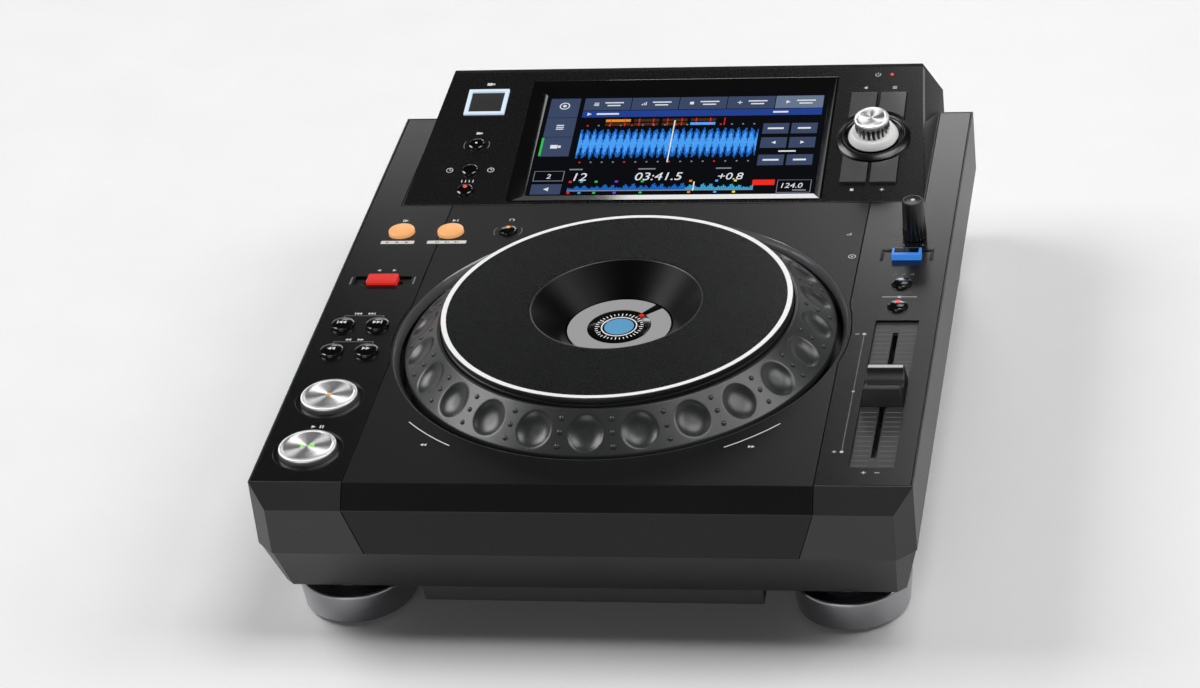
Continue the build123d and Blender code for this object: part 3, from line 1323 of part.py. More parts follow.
def all_pieces():
    """Every piece of the player by name."""
    ring_outer = PLATTER_RADIUS - RING_INSET
    pieces = {
        "upper_case": make_upper_case(),
        "lower_case": make_lower_case(),
        "bottom_plate": make_bottom_plate(),
        "centre_panel": make_centre_panel(),
        "left_panel": make_strip(-1),
        "right_panel": make_strip(1),
        "feet": make_feet(),
        "foot_pads": make_foot_pads(),
        "rear_hood": make_rear_hood(),
        "rear_panel": make_rear_panel(),
        "display_fascia": make_fascia(),
        "screen_bezel": make_bezel(),
        "lcd_screen": make_lcd(),
        "jog_dial": make_jog_dial(),
        "jog_platter": make_jog_platter(),
        "jog_trim_ring": ring_solid(ring_outer - RING_WIDTH, ring_outer, PLATTER_TOP - RING_T, PLATTER_TOP),
        "jog_hub": make_jog_hub(),
        "slit_disc": make_slit_disc(),
        "jog_post": make_jog_post(),
        "jog_display": rod(0, JOG_Y, DISH_FLOOR - CENTRE_GAP, POST_TOP, CENTRE_TOP),
        "jog_mode_button": make_jog_mode_button(),
        "direction_lever": make_direction_lever(),
        "switch_boards": make_switch_boards(),
        "fader_tray": make_fader_tray(),
        "fader_body": make_fader_body(),
        "fader_stem": make_fader_stem(),
        "fader_cap": make_fader_cap(),
        "speed_pot": make_speed_pot(),
        "speed_knob": make_speed_knob(),
        "usb_light_frame": make_usb_frame(),
        "usb_door": make_usb_door(),
        "usb_socket": make_usb_socket(),
        "selector_encoder": make_selector_encoder(),
        "selector_collar": make_selector_collar(),
        "selector_skirt": make_selector_skirt(),
        "selector_knob": make_selector_knob(),
        "main_board": make_main_board(),
        "power_supply": make_power_supply(),
        "rca_jacks": make_rca_jacks(),
        "rear_sockets": make_rear_sockets(),
        "ac_inlet": make_ac_inlet(),
        "power_button": make_power_button(),
    }
    for name, (x, y, radius, height) in DECK_BUTTONS.items():
        maker = transport_button if radius == TRANSPORT_RADIUS else round_button
        pieces[name] = maker(deck(x, y), radius, height, SKIN)
    for name, s in FACE_BUTTONS.items():
        place = on_face(FACE_BUTTONS_X, s)
        pieces[name] = round_button(place, FACE_BUTTON_RADIUS, FACE_BUTTON_HEIGHT, FASCIA_T)
    for name, sides in BROWSE_BUTTONS.items():
        rim = browse_outline(sides, FLANGE_WIDTH)
        plan = browse_outline(sides, 0)
        pieces[name] = plate_button(on_face(0, 0), plan, BROWSE_HEIGHT, FASCIA_T, rim)
    return pieces


os.makedirs("parts", exist_ok=True)
for piece_name, piece in all_pieces().items():
    export_step(piece, f"parts/{piece_name}.step")
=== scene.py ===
import json
import logging
import math
from dataclasses import dataclass, replace
from enum import Enum
from typing import Any, Iterable, Sequence

import bmesh
import bpy
from mathutils import Matrix, Vector

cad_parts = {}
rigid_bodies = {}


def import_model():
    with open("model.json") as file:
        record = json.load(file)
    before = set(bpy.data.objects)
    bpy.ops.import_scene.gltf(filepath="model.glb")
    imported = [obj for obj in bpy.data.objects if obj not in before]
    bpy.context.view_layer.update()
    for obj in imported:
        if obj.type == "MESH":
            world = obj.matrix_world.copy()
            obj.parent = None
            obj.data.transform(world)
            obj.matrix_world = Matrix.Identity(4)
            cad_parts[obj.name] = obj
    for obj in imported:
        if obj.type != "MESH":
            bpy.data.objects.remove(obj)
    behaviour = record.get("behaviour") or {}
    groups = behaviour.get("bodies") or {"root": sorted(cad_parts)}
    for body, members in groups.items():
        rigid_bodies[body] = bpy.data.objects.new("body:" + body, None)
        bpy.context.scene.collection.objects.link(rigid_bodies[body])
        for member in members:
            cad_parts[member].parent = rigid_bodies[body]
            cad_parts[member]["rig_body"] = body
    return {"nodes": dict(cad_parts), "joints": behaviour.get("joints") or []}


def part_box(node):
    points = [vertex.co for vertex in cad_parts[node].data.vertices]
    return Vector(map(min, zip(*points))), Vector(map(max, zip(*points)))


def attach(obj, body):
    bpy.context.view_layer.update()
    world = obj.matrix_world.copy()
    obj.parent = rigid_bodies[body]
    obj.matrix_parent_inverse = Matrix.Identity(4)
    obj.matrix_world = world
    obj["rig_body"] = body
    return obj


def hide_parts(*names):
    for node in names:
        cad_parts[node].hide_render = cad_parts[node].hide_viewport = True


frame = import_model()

LOG = logging.getLogger("media_player")
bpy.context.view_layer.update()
MM = 0.001
CHASSIS = "chassis"
INK = (-0.04, 0.06)              # foot and top of print on its panel, in millimetres
OVERPRINT = (-0.04, 0.09)        # print on print
SMOOTH_ANGLE = math.radians(38)
MITRE_ANGLE = math.radians(12)   # the bezel's slopes meet at shallow mitres that stay crisp
FLAT_ANGLE = math.radians(0.2)   # faces that meet flatter than this are one
WELD = 0.002 * MM                # vertices closer than this are one
FULL = (0.0, 360.0)              # a whole turn in degrees
ARC_STEP = 4                     # degrees along one facet of an arc
FLANGE = 0.8                     # rim of a push button under its panel
FLANGE_TOP, FLANGE_FOOT = -4.3, -5.5
Point = tuple[float, float]
Socket = bpy.types.NodeSocket
Vertex = bmesh.types.BMVert


def linear(colour: str) -> tuple[float, float, float, float]:
    """Turn an sRGB hex colour into linear light.

    Args:
        colour: Colour as #rrggbb.

    Returns:
        Linear red, green, blue and an alpha of one.
    """
    shares = [int(colour[i:i + 2], 16) / 255 for i in (1, 3, 5)]
    levels = [c / 12.92 if c <= 0.04045 else ((c + 0.055) / 1.055) ** 2.4 for c in shares]
    return (levels[0], levels[1], levels[2], 1.0)


def polar(radius: float, angle: float, middle: Point = (0.0, 0.0)) -> Point:
    """Place at a radius and an angle in radians round a middle."""
    return (middle[0] + radius * math.cos(angle), middle[1] + radius * math.sin(angle))


def turns(steps: int, start: float = 0.0) -> list[float]:
    """Angles of equal steps round a circle, in radians."""
    return [2 * math.pi * i / steps + start for i in range(steps)]


def block(x0: float, y0: float, x1: float, y1: float) -> tuple[Point, ...]:
    """Outline of a rectangle between two corners."""
    return ((x0, y0), (x1, y0), (x1, y1), (x0, y1))


def wedge(base: float, tip: float) -> tuple[Point, ...]:
    """Outline of a triangle of height one that points from its base to its tip."""
    half = math.copysign(0.5, tip - base)
    return ((base, -half), (tip, 0.0), (base, half))


def lifted(layer: Point, height: float) -> Point:
    """Foot and top of a layer that stands on something of a height."""
    return (layer[0] + height, layer[1] + height)


def spoke(near: float, far: float, half: float, angle: float) -> list[Point]:
    """Outline of a bar that points outwards from the middle at an angle in radians."""
    along, across = math.cos(angle), math.sin(angle)
    return [(r * along - t * across, r * across + t * along) for r, t in block(near, -half, far, half)]


def add_node(
    tree: bpy.types.NodeTree,
    kind: str,
    settings: dict[str, Any] | None = None,
    links: dict[str, Socket] | None = None,
) -> bpy.types.Node:
    """Add a node with its settings and the links into it.

    Args:
        tree: Node tree that gets the node.
        kind: Blender's name of the node type.
        settings: Values of inputs, or of the node's own properties; stops are a ramp's places and colours.
        links: Output sockets by the name of the input that each one feeds.

    Returns:
        The new node.
    """
    node = tree.nodes.new(kind)
    for key, value in (settings or {}).items():
        if key == "stops":
            while len(node.color_ramp.elements) < len(value):
                node.color_ramp.elements.new(1.0)
            for element, (place, colour) in zip(node.color_ramp.elements, value):
                element.position = place
                element.color = linear(colour)
        elif key in node.inputs:
            node.inputs[key].default_value = value
        else:
            setattr(node, key, value)
    for key, socket in (links or {}).items():
        tree.links.new(socket, node.inputs[key])
    return node


class Graph:
    """Nodes of one material, round its shader."""

    def __init__(self, tree: bpy.types.NodeTree, colour: str) -> None:
        """Clear the tree and start it with a shader of one colour.

        Args:
            tree: Node tree of the material.
            colour: Colour as #rrggbb.
        """
        tree.nodes.clear()
        self.tree = tree
        self.base = linear(colour)
        self.shader = add_node(tree, "ShaderNodeBsdfPrincipled", {"Base Color": self.base})

    def set(self, values: dict[str, Any]) -> None:
        """Set constant inputs of the shader."""
        for key, value in values.items():
            self.shader.inputs[key].default_value = value

    def feed(self, key: str, source: Socket) -> None:
        """Let an output drive one of the shader's inputs."""
        self.tree.links.new(source, self.shader.inputs[key])

    def place(self) -> Socket:
        """Add the coordinates of the piece itself, in metres."""
        return add_node(self.tree, "ShaderNodeTexCoord").outputs["Object"]

    def grain(self, size: float, detail: float = 3.0) -> Socket:
        """Add a noise whose cells have a real size in millimetres."""
        settings = {"Scale": 1 / (size * MM), "Detail": detail}
        return add_node(self.tree, "ShaderNodeTexNoise", settings, {"Vector": self.place()}).outputs["Fac"]

    def spread(self, source: Socket, low: float, high: float, ends: Point = (0.3, 0.7)) -> Socket:
        """Map a pattern to a range; most of a noise lies between the ends given here."""
        limits = {"From Min": ends[0], "From Max": ends[1], "To Min": low, "To Max": high}
        return add_node(self.tree, "ShaderNodeMapRange", limits, {"Value": source}).outputs["Result"]

    def shade(self, factor: Socket) -> None:
        """Multiply the base colour by a varying factor.

        Args:
            factor: Output that gives the factor.
        """
        settings = {"operation": "SCALE", "Vector": self.base[:3]}
        scaled = add_node(self.tree, "ShaderNodeVectorMath", settings, {"Scale": factor})
        self.feed("Base Color", scaled.outputs["Vector"])

    def emboss(self, height: Socket, depth: float) -> None:
        """Raise the surface by a pattern of a real depth in millimetres."""
        bump = add_node(self.tree, "ShaderNodeBump", {"Distance": depth * MM}, {"Height": height})
        self.feed("Normal", bump.outputs["Normal"])


@dataclass(frozen=True)
class Finish:
    """Surface of a piece: what it is made of and how that looks."""

    name: str
    colour: str

    def material(self) -> bpy.types.Material:
        """Make the material of this finish, once.

        Returns:
            The Blender material.
        """
        found = bpy.data.materials.get(self.name)
        if found:
            return found
        made = bpy.data.materials.new(self.name)
        made.use_nodes = True
        made.diffuse_color = linear(self.colour)
        graph = Graph(made.node_tree, self.colour)
        self.dress(graph)
        add_node(graph.tree, "ShaderNodeOutputMaterial", links={"Surface": graph.shader.outputs["BSDF"]})
        return made

    def dress(self, graph: Graph) -> None:
        """Set the shader and add the pattern nodes of this kind of finish."""
        raise NotImplementedError


@dataclass(frozen=True)
class MouldedPlastic(Finish):
    """Moulded ABS with spark-eroded grain: soft highlights that break up at the grain's scale."""

    roughness: float
    grain_mm: float = 0.7
    depth_mm: float = 0.02
    speckle: float = 0.1     # share by which the grain varies the colour
    drift: float = 0.08      # share by which the colour drifts over the piece
    coat: float = 0.0
    specular: float = 0.5

    IOR = 1.53
    COAT_ROUGHNESS = 0.08
    DRIFT_MM = 35.0

    def dress(self, graph: Graph) -> None:
        """Set gloss and coat, and vary colour, gloss and height with the grain.

        Args:
            graph: Nodes of the material.
        """
        graph.set({"IOR": self.IOR, "Specular IOR Level": self.specular})
        graph.set({"Coat Weight": self.coat, "Coat Roughness": self.COAT_ROUGHNESS})
        grain = graph.grain(self.grain_mm)
        fine = graph.spread(grain, 1 - self.speckle, 1 + self.speckle)
        drift = graph.spread(graph.grain(self.DRIFT_MM, 1.0), 1 - self.drift, 1 + self.drift)
        both = add_node(graph.tree, "ShaderNodeMath", {"operation": "MULTIPLY"})
        for source, factor in zip((fine, drift), both.inputs):
            graph.tree.links.new(source, factor)
        graph.shade(both.outputs["Value"])
        graph.feed("Roughness", graph.spread(grain, self.roughness * 0.9, self.roughness * 1.1))
        graph.emboss(grain, self.depth_mm)


@dataclass(frozen=True)
class TurnedMetal(Finish):
    """Turned or spun metal: fine rings round the axis that stretch highlights across them."""

    roughness: float
    ring_mm: float = 0.35
    depth_mm: float = 0.006
    anisotropy: float = 0.0
    wall: bool = False       # whether the marks run round an upright wall, one above the other

    WAVE_PERIOD = 0.314      # metres from ring to ring in a wave pattern of scale one

    def dress(self, graph: Graph) -> None:
        """Set the metal and cut its rings round the piece's own axis.

        Args:
            graph: Nodes of the material.
        """
        graph.set({"Metallic": 1.0, "Anisotropic": self.anisotropy})
        settings = {
            "wave_type": "BANDS" if self.wall else "RINGS",
            "bands_direction": "Z",
            "rings_direction": "Z",
            "Scale": self.WAVE_PERIOD / (self.ring_mm * MM),
            "Distortion": 0.6,
            "Detail": 2.0,
        }
        rings = add_node(graph.tree, "ShaderNodeTexWave", settings, {"Vector": graph.place()}).outputs["Fac"]
        graph.feed("Roughness", graph.spread(rings, self.roughness * 0.85, self.roughness * 1.15))
        graph.emboss(rings, self.depth_mm)
        if self.anisotropy:
            tangent = add_node(graph.tree, "ShaderNodeTangent", {"direction_type": "RADIAL", "axis": "Z"})
            graph.feed("Tangent", tangent.outputs["Tangent"])


@dataclass(frozen=True)
class PlainMetal(Finish):
    """Plated or drawn sheet metal with faint rolling marks and no texture to the touch."""

    roughness: float

    MARK_MM = 1.2
    DEPTH_MM = 0.004

    def dress(self, graph: Graph) -> None:
        """Set the metal and vary its gloss in faint marks.

        Args:
            graph: Nodes of the material.
        """
        graph.set({"Metallic": 1.0})
        marks = graph.grain(self.MARK_MM)
        graph.feed("Roughness", graph.spread(marks, self.roughness * 0.8, self.roughness * 1.2))
        graph.emboss(marks, self.DEPTH_MM)


@dataclass(frozen=True)
class LitPlastic(Finish):
    """Translucent polycarbonate over a lamp: it glows evenly, a little brighter at its middle, partly the
    lamp's hot spot and partly a painted highlight on the cap's top.
    """

    strength: float
    shell: str               # colour of the plastic when its lamp is off
    roughness: float = 0.3
    glow_mm: float = 9.0     # how far from the middle the glow has fallen off; the brighter middle is partly a painted highlight

    IOR = 1.58
    FALL = 0.7

    def dress(self, graph: Graph) -> None:
        """Set the gloss and let the glow fall off from the piece's middle, partly as a painted highlight.

        Args:
            graph: Nodes of the material.
        """
        graph.set({"IOR": self.IOR, "Roughness": self.roughness, "Base Color": linear(self.shell)})
        graph.set({"Emission Color": linear(self.colour)})
        length = {"operation": "LENGTH"}
        distance = add_node(graph.tree, "ShaderNodeVectorMath", length, {"Vector": graph.place()})
        ends = (0.0, self.glow_mm * MM)
        level = graph.spread(distance.outputs["Value"], self.strength, self.strength * self.FALL, ends)
        graph.feed("Emission Strength", level)


@dataclass(frozen=True)
class ScreenLight(Finish):
    """Lit pixels under the cover glass: even colour with the glass's gloss and a faint grain."""

    strength: float = 1.0

    IOR = 1.5
    ROUGHNESS = 0.12
    DARK = "#060607"
    PIXEL_MM = 0.5           # coarser than the real pixels, so that the grain shows at all

    def dress(self, graph: Graph) -> None:
        """Set the glass's gloss and vary the light a little from place to place.

        Args:
            graph: Nodes of the material.
        """
        graph.set({"IOR": self.IOR, "Roughness": self.ROUGHNESS, "Base Color": linear(self.DARK)})
        graph.set({"Emission Color": linear(self.colour)})
        pixels = graph.grain(self.PIXEL_MM, 0.0)
        graph.feed("Emission Strength", graph.spread(pixels, self.strength * 0.9, self.strength * 1.1))


@dataclass(frozen=True)
class PrintedInk(Finish):
    """Screen-printed ink: flat, slightly uneven cover and a dull surface."""

    ROUGHNESS = 0.55
    COVER_MM = 0.4

    def dress(self, graph: Graph) -> None:
        """Set the dull surface and vary the cover."""
        graph.set({"Roughness": self.ROUGHNESS})
        graph.shade(graph.spread(graph.grain(self.COVER_MM), 0.9, 1.05))


# Grey moulded ABS of the case: satin, with a grain that takes the shine off flat faces
CASE = MouldedPlastic("abs_moulded_grey", "#232324", 0.42, grain_mm=0.6)
# Painted ABS of the deck round the jog wheel: darker and duller than the case
DECK = MouldedPlastic(
    "abs_painted_black", "#131314", 0.34, grain_mm=0.5, depth_mm=0.008, speckle=0.06, specular=0.25
)
# Semi-gloss black of the two strips and the selector's ring: very dark, with a clear soft sheen
STRIP = MouldedPlastic("abs_semi_gloss_black", "#080809", 0.24, grain_mm=0.5, depth_mm=0.004, speckle=0.05)
# Face of the display: painted satin black
FACE = MouldedPlastic("abs_painted_face", "#101011", 0.27, grain_mm=0.5, depth_mm=0.003, speckle=0.06)
# Polished bezel: mirror-like slopes that catch the pale surroundings
BEZEL = MouldedPlastic(
    "acrylic_polished_black", "#0b0b0c", 0.1, grain_mm=4.0, depth_mm=0.001, speckle=0.02, coat=1.0
)
# Polished wall of the jog wheel's well: glossy, and a lighter grey than the case as a painted highlight, so
# that a light band shows its curve
WELL_HIGHLIGHT_GREY = MouldedPlastic(
    "abs_polished_grey_painted_highlight", "#58585a", 0.18, grain_mm=3.0, depth_mm=0.002, speckle=0.02, coat=0.6
)
# Textured hood behind the display: dull black that takes no highlight
HOOD = MouldedPlastic("abs_textured_black", "#080808", 0.55, depth_mm=0.012, specular=0.2)
# Powder-coated steel of the bottom plate and the socket panel: an even orange-peel sheen
PAN = MouldedPlastic("steel_powder_coated", "#161616", 0.5, grain_mm=0.8, depth_mm=0.03, speckle=0.12)
# Soft-touch grip of the jog dial: dull grey that shows the dimples by shading alone
GRIP = MouldedPlastic("elastomer_soft_grey", "#2a2b2c", 0.32, grain_mm=0.5, depth_mm=0.012, speckle=0.08)
# Sanded top of the platter: fine speckle, drawn coarser than the real grit so that it shows
PLATTER = MouldedPlastic("abs_sanded_platter", "#0e100f", 0.28, depth_mm=0.014, speckle=0.8, specular=0.2)
# Gloss black of small caps: small sharp highlights
GLOSS = MouldedPlastic(
    "abs_gloss_black", "#080808", 0.14, grain_mm=3.0, depth_mm=0.001, speckle=0.02, coat=0.5
)
# Satin black wall of the platter's dish: nearly no light comes back from it
DISH = MouldedPlastic(
    "abs_satin_dish", "#020202", 0.36, grain_mm=0.6, depth_mm=0.002, speckle=0.03, specular=0.1
)
# Matte black knobs and fader cap: broad faint highlights
KNOB = MouldedPlastic("abs_matte_black", "#121212", 0.36, grain_mm=0.6, depth_mm=0.012)
# Smoked cover of the USB window: dark, with a clear gloss
SMOKE = MouldedPlastic(
    "polycarbonate_smoked", "#363637", 0.2, grain_mm=3.0, depth_mm=0.002, speckle=0.03, coat=0.4
)
# Keys round the selector: the same plastic, paler for its light backing
KEY = replace(SMOKE, name="polycarbonate_smoked_key", colour="#4a4a4b")
# White moulded trim: even and bright, with a soft sheen
TRIM = MouldedPlastic(
    "abs_white_satin", "#ececea", 0.35, grain_mm=0.8, depth_mm=0.004, speckle=0.02, drift=0.02
)
# Silver paint of the line on the fader cap: pale grey with a soft sheen
SILVER = MouldedPlastic("abs_silver_painted", "#b6b6b5", 0.35, grain_mm=0.8, depth_mm=0.004, speckle=0.02)
# Inner mouldings and the coloured washers of the sockets: plain satin plastic
INNER = MouldedPlastic("abs_inner_black", "#202020", 0.5)
RED_INSERT = MouldedPlastic("nylon_red", "#b3241c", 0.45, speckle=0.04)
WHITE_INSERT = replace(RED_INSERT, name="nylon_white", colour="#d8d6d0")
ORANGE_INSERT = replace(RED_INSERT, name="nylon_orange", colour="#d8731c")
# Rubber of the foot pads: dull, slightly grey with dust
RUBBER = MouldedPlastic("rubber_moulded", "#191918", 0.75, grain_mm=1.0, depth_mm=0.04, speckle=0.15)
# Solder mask over copper: green with a faint weave
BOARD = MouldedPlastic("epoxy_glass_board", "#14482c", 0.35, grain_mm=1.5, depth_mm=0.01, speckle=0.15)
# Moulding under the fader cap: graphite grey, a little lighter than the strip
TRAY = MouldedPlastic("abs_graphite_tray", "#2b2b2c", 0.4, grain_mm=0.5, depth_mm=0.006)
# Laminate table top: white, with a faint soft reflection
FLOOR = MouldedPlastic(
    "laminate_white_floor", "#efefef", 0.45, grain_mm=60.0, depth_mm=0.0, speckle=0.005, drift=0.005
)
# Spun aluminium of play, cue and the selector's top: the rings fan the light out into bright sectors
SPUN = TurnedMetal("aluminium_spun", "#efefef", 0.42, ring_mm=0.4, depth_mm=0.003, anisotropy=0.9)
# Anodised gunmetal feet: grey metal with level turning marks
GUNMETAL = TurnedMetal("aluminium_anodised_gunmetal", "#9c9ca0", 0.26, ring_mm=0.5, wall=True)
# Bright turned grip of the selector: sharp glints on its knurls
BRIGHT = TurnedMetal("aluminium_turned_bright", "#d6d6d6", 0.22, ring_mm=0.3)
# Plated sockets and screws: clean metal, each with the tint of its plating
NICKEL = PlainMetal("steel_nickel_plated", "#b8b6b0", 0.25)
GOLD = PlainMetal("brass_gold_plated", "#d9b25a", 0.2)
ZINC = PlainMetal("steel_zinc_plated", "#8d8f92", 0.32)
# Lamps behind tinted polycarbonate: even colour that the room's light hardly changes
GREEN_LAMP = LitPlastic("polycarbonate_lit_green", "#7dff3a", 1.3, "#2c4a1c", glow_mm=30.0)
AMBER_LAMP = LitPlastic("polycarbonate_lit_amber", "#ff9a2e", 1.2, "#5a3814", glow_mm=30.0)
# the loop caps' brighter middle is partly a painted highlight on their tops
ORANGE_CAP = LitPlastic("polycarbonate_lit_orange", "#f9b474", 0.8, "#966a40", roughness=0.35)
RED_CAP = LitPlastic("polycarbonate_lit_red", "#f4281e", 0.85, "#7a1c18", glow_mm=14.0)
RED_LAMP = LitPlastic("polycarbonate_lit_red_dot", "#ff3b3b", 1.3, "#6a1a1a", glow_mm=300.0)
BLUE_CAP = LitPlastic("polycarbonate_lit_blue", "#3f8ff5", 0.95, "#1c3c66", glow_mm=14.0)
USB_LIGHT = LitPlastic("polycarbonate_lit_white", "#dcefff", 0.75, "#8a949c", glow_mm=400.0)
# Inks: flat and dull beside the panels' sheen
WHITE_INK = PrintedInk("ink_white", "#d0d0cd")
GREY_INK = PrintedInk("ink_grey", "#6d6d6c")
BLACK_INK = PrintedInk("ink_black", "#0b0b0b")
# Lit layers of the wheel's centre display
CENTRE_GREY = ScreenLight("lit_centre_grey", "#9c9c9c")
CENTRE_WHITE = ScreenLight("lit_centre_white", "#f2f2f2", 0.9)
CENTRE_BLUE = ScreenLight("lit_centre_blue", "#5e9cc4")
CENTRE_RED = ScreenLight("lit_centre_red", "#f2261e")
# Lit colours of the screen
SCREEN_BLACK = ScreenLight("lit_screen_black", "#05060a")
TAB = ScreenLight("lit_screen_slate", "#3a4763")
TAB_LIGHT = ScreenLight("lit_screen_pale_slate", "#66748c")
TITLE = ScreenLight("lit_screen_title", "#21408f")
PALE = ScreenLight("lit_screen_white", "#e8ecf2", 0.9)
FRAME_GREY = ScreenLight("lit_screen_grey", "#7f8794")
WAVE = ScreenLight("lit_screen_sky", "#4fa8ff")
WAVE_DEEP = ScreenLight("lit_screen_blue", "#1668c8")
CYAN = ScreenLight("lit_screen_cyan", "#38a4d0")
GREEN = ScreenLight("lit_screen_green", "#2fc04a")
AMBER = ScreenLight("lit_screen_amber", "#f08a1e")
YELLOW = ScreenLight("lit_screen_yellow", "#f0e040")
VIOLET = ScreenLight("lit_screen_violet", "#8c3cd8")
RED = ScreenLight("lit_screen_red", "#ee2a22")
DIM = ScreenLight("lit_screen_dim", "#4a2a14")


class Symbol(Enum):
    """Common transport signs, as outlines in a square of side one."""

    PLAY = (wedge(-0.38, 0.5),)
    LEFT = (wedge(0.45, -0.45),)
    PAUSE = (block(-0.38, -0.5, -0.12, 0.5), block(0.12, -0.5, 0.38, 0.5))
    STOP = (block(-0.4, -0.4, 0.4, 0.4),)
    FORWARD = (wedge(-0.75, 0.0), wedge(0.0, 0.75))
    BACK = (wedge(0.75, 0.0), wedge(0.0, -0.75))
    NEXT = FORWARD + (block(0.8, -0.5, 1.0, 0.5),)
    PREVIOUS = BACK + (block(-1.0, -0.5, -0.8, 0.5),)
    LOOP_IN = (block(-0.7, -0.5, -0.5, 0.5), wedge(-0.35, 0.5))
    LOOP_OUT = (wedge(-0.5, 0.35), block(0.5, -0.5, 0.7, 0.5))
    MINUS = (block(-0.5, -0.09, 0.5, 0.09),)
    PLUS = (
        (
            (-0.5, -0.09), (-0.09, -0.09), (-0.09, -0.5), (0.09, -0.5), (0.09, -0.09), (0.5, -0.09),
            (0.5, 0.09), (0.09, 0.09), (0.09, 0.5), (-0.09, 0.5), (-0.09, 0.09), (-0.5, 0.09),
        ),
    )
    LINES = (block(-0.5, 0.3, 0.5, 0.48), block(-0.5, -0.09, 0.5, 0.09), block(-0.5, -0.48, 0.5, -0.3))
    STEPS = (block(-0.5, -0.5, -0.3, -0.1), block(-0.1, -0.5, 0.1, 0.2), block(0.3, -0.5, 0.5, 0.5))
    STICK = (block(-0.7, -0.35, 0.25, 0.35), block(0.32, -0.22, 0.7, 0.22))


@dataclass(frozen=True)
class Limits:
    """Box of a CAD node on a panel's grid, in millimetres."""

    low: Vector
    high: Vector

    @property
    def middle(self) -> Vector:
        """Centre of the box."""
        return (self.low + self.high) / 2

    @property
    def size(self) -> Vector:
        """Sides of the box."""
        return self.high - self.low


class Panel:
    """A flat side of the player with its own grid: X to the right, Y up the panel and Z off it."""

    def __init__(self, matrix: Matrix) -> None:
        """Set the grid's place and turn, in metres."""
        self.matrix = matrix

    def side(self, spot: Sequence[float], angle: float, axis: str) -> "Panel":
        """Grid at a spot of this one, turned about one of its axes."""
        return Panel(self.matrix @ Matrix.Translation(Vector(spot) * MM) @ Matrix.Rotation(angle, 4, axis))

    def around(self, vertices: Iterable[Any]) -> Limits:
        """Measure some vertices on this grid.

        Args:
            vertices: Vertices of a mesh.

        Returns:
            Their box in millimetres.
        """
        inverse = self.matrix.inverted()
        axes = list(zip(*[(inverse @ v.co) / MM for v in vertices]))
        return Limits(Vector([min(axis) for axis in axes]), Vector([max(axis) for axis in axes]))

    def limits(self, node: str) -> Limits:
        """Measure a CAD node on this grid."""
        return self.around(frame["nodes"][node].data.vertices)

    def islands(self, node: str) -> list[Limits]:
        """Measure the separate solids of a CAD node on this grid.

        Args:
            node: Name of the CAD node.

        Returns:
            The box of each solid in millimetres.
        """
        mesh = welded(node)
        found = []
        for start in mesh.verts:
            if start.tag:
                continue
            start.tag = True
            group = [start]
            for vertex in group:
                for edge in vertex.link_edges:
                    other = edge.other_vert(vertex)
                    if not other.tag:
                        other.tag = True
                        group.append(other)
            found.append(self.around(group))
        mesh.free()
        return found


def welded(node: str) -> bmesh.types.BMesh:
    """Copy the mesh of a CAD node with its seams closed.

    Args:
        node: Name of the CAD node.

    Returns:
        The copy.
    """
    mesh = bmesh.new()
    mesh.from_mesh(frame["nodes"][node].data)
    bmesh.ops.remove_doubles(mesh, verts=mesh.verts, dist=WELD)
    return mesh


def make_object(
    mesh: bmesh.types.BMesh, name: str, finishes: Iterable[Finish], crease: float = SMOOTH_ANGLE
) -> bpy.types.Object:
    """Turn a gathered mesh into a smooth-shaded object.

    Args:
        mesh: The mesh, which is used up.
        name: Name of the object.
        finishes: Its finishes, in the order of their numbers.
        crease: Angle from which an edge stays crisp.

    Returns:
        The object, in the scene.
    """
    data = bpy.data.meshes.new(name)
    mesh.to_mesh(data)
    mesh.free()
    for finish in finishes:
        data.materials.append(finish.material())
    data.shade_smooth()
    data.set_sharp_from_angle(angle=crease)
    piece = bpy.data.objects.new(name, data)
    bpy.context.scene.collection.objects.link(piece)
    return piece


def settle(
    piece: bpy.types.Object, body: str, replaces: Sequence[str] = ()
) -> bpy.types.Object:
    """Let a piece ride on a body and hide the CAD nodes that it stands for.

    Args:
        piece: The new object, in place.
        body: CAD body that carries it.
        replaces: CAD nodes that it stands for.

    Returns:
        The same object.
    """
    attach(piece, body)
    if replaces:
        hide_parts(*replaces)
    LOG.info("%s rides on %s", piece.name, body)
    return piece


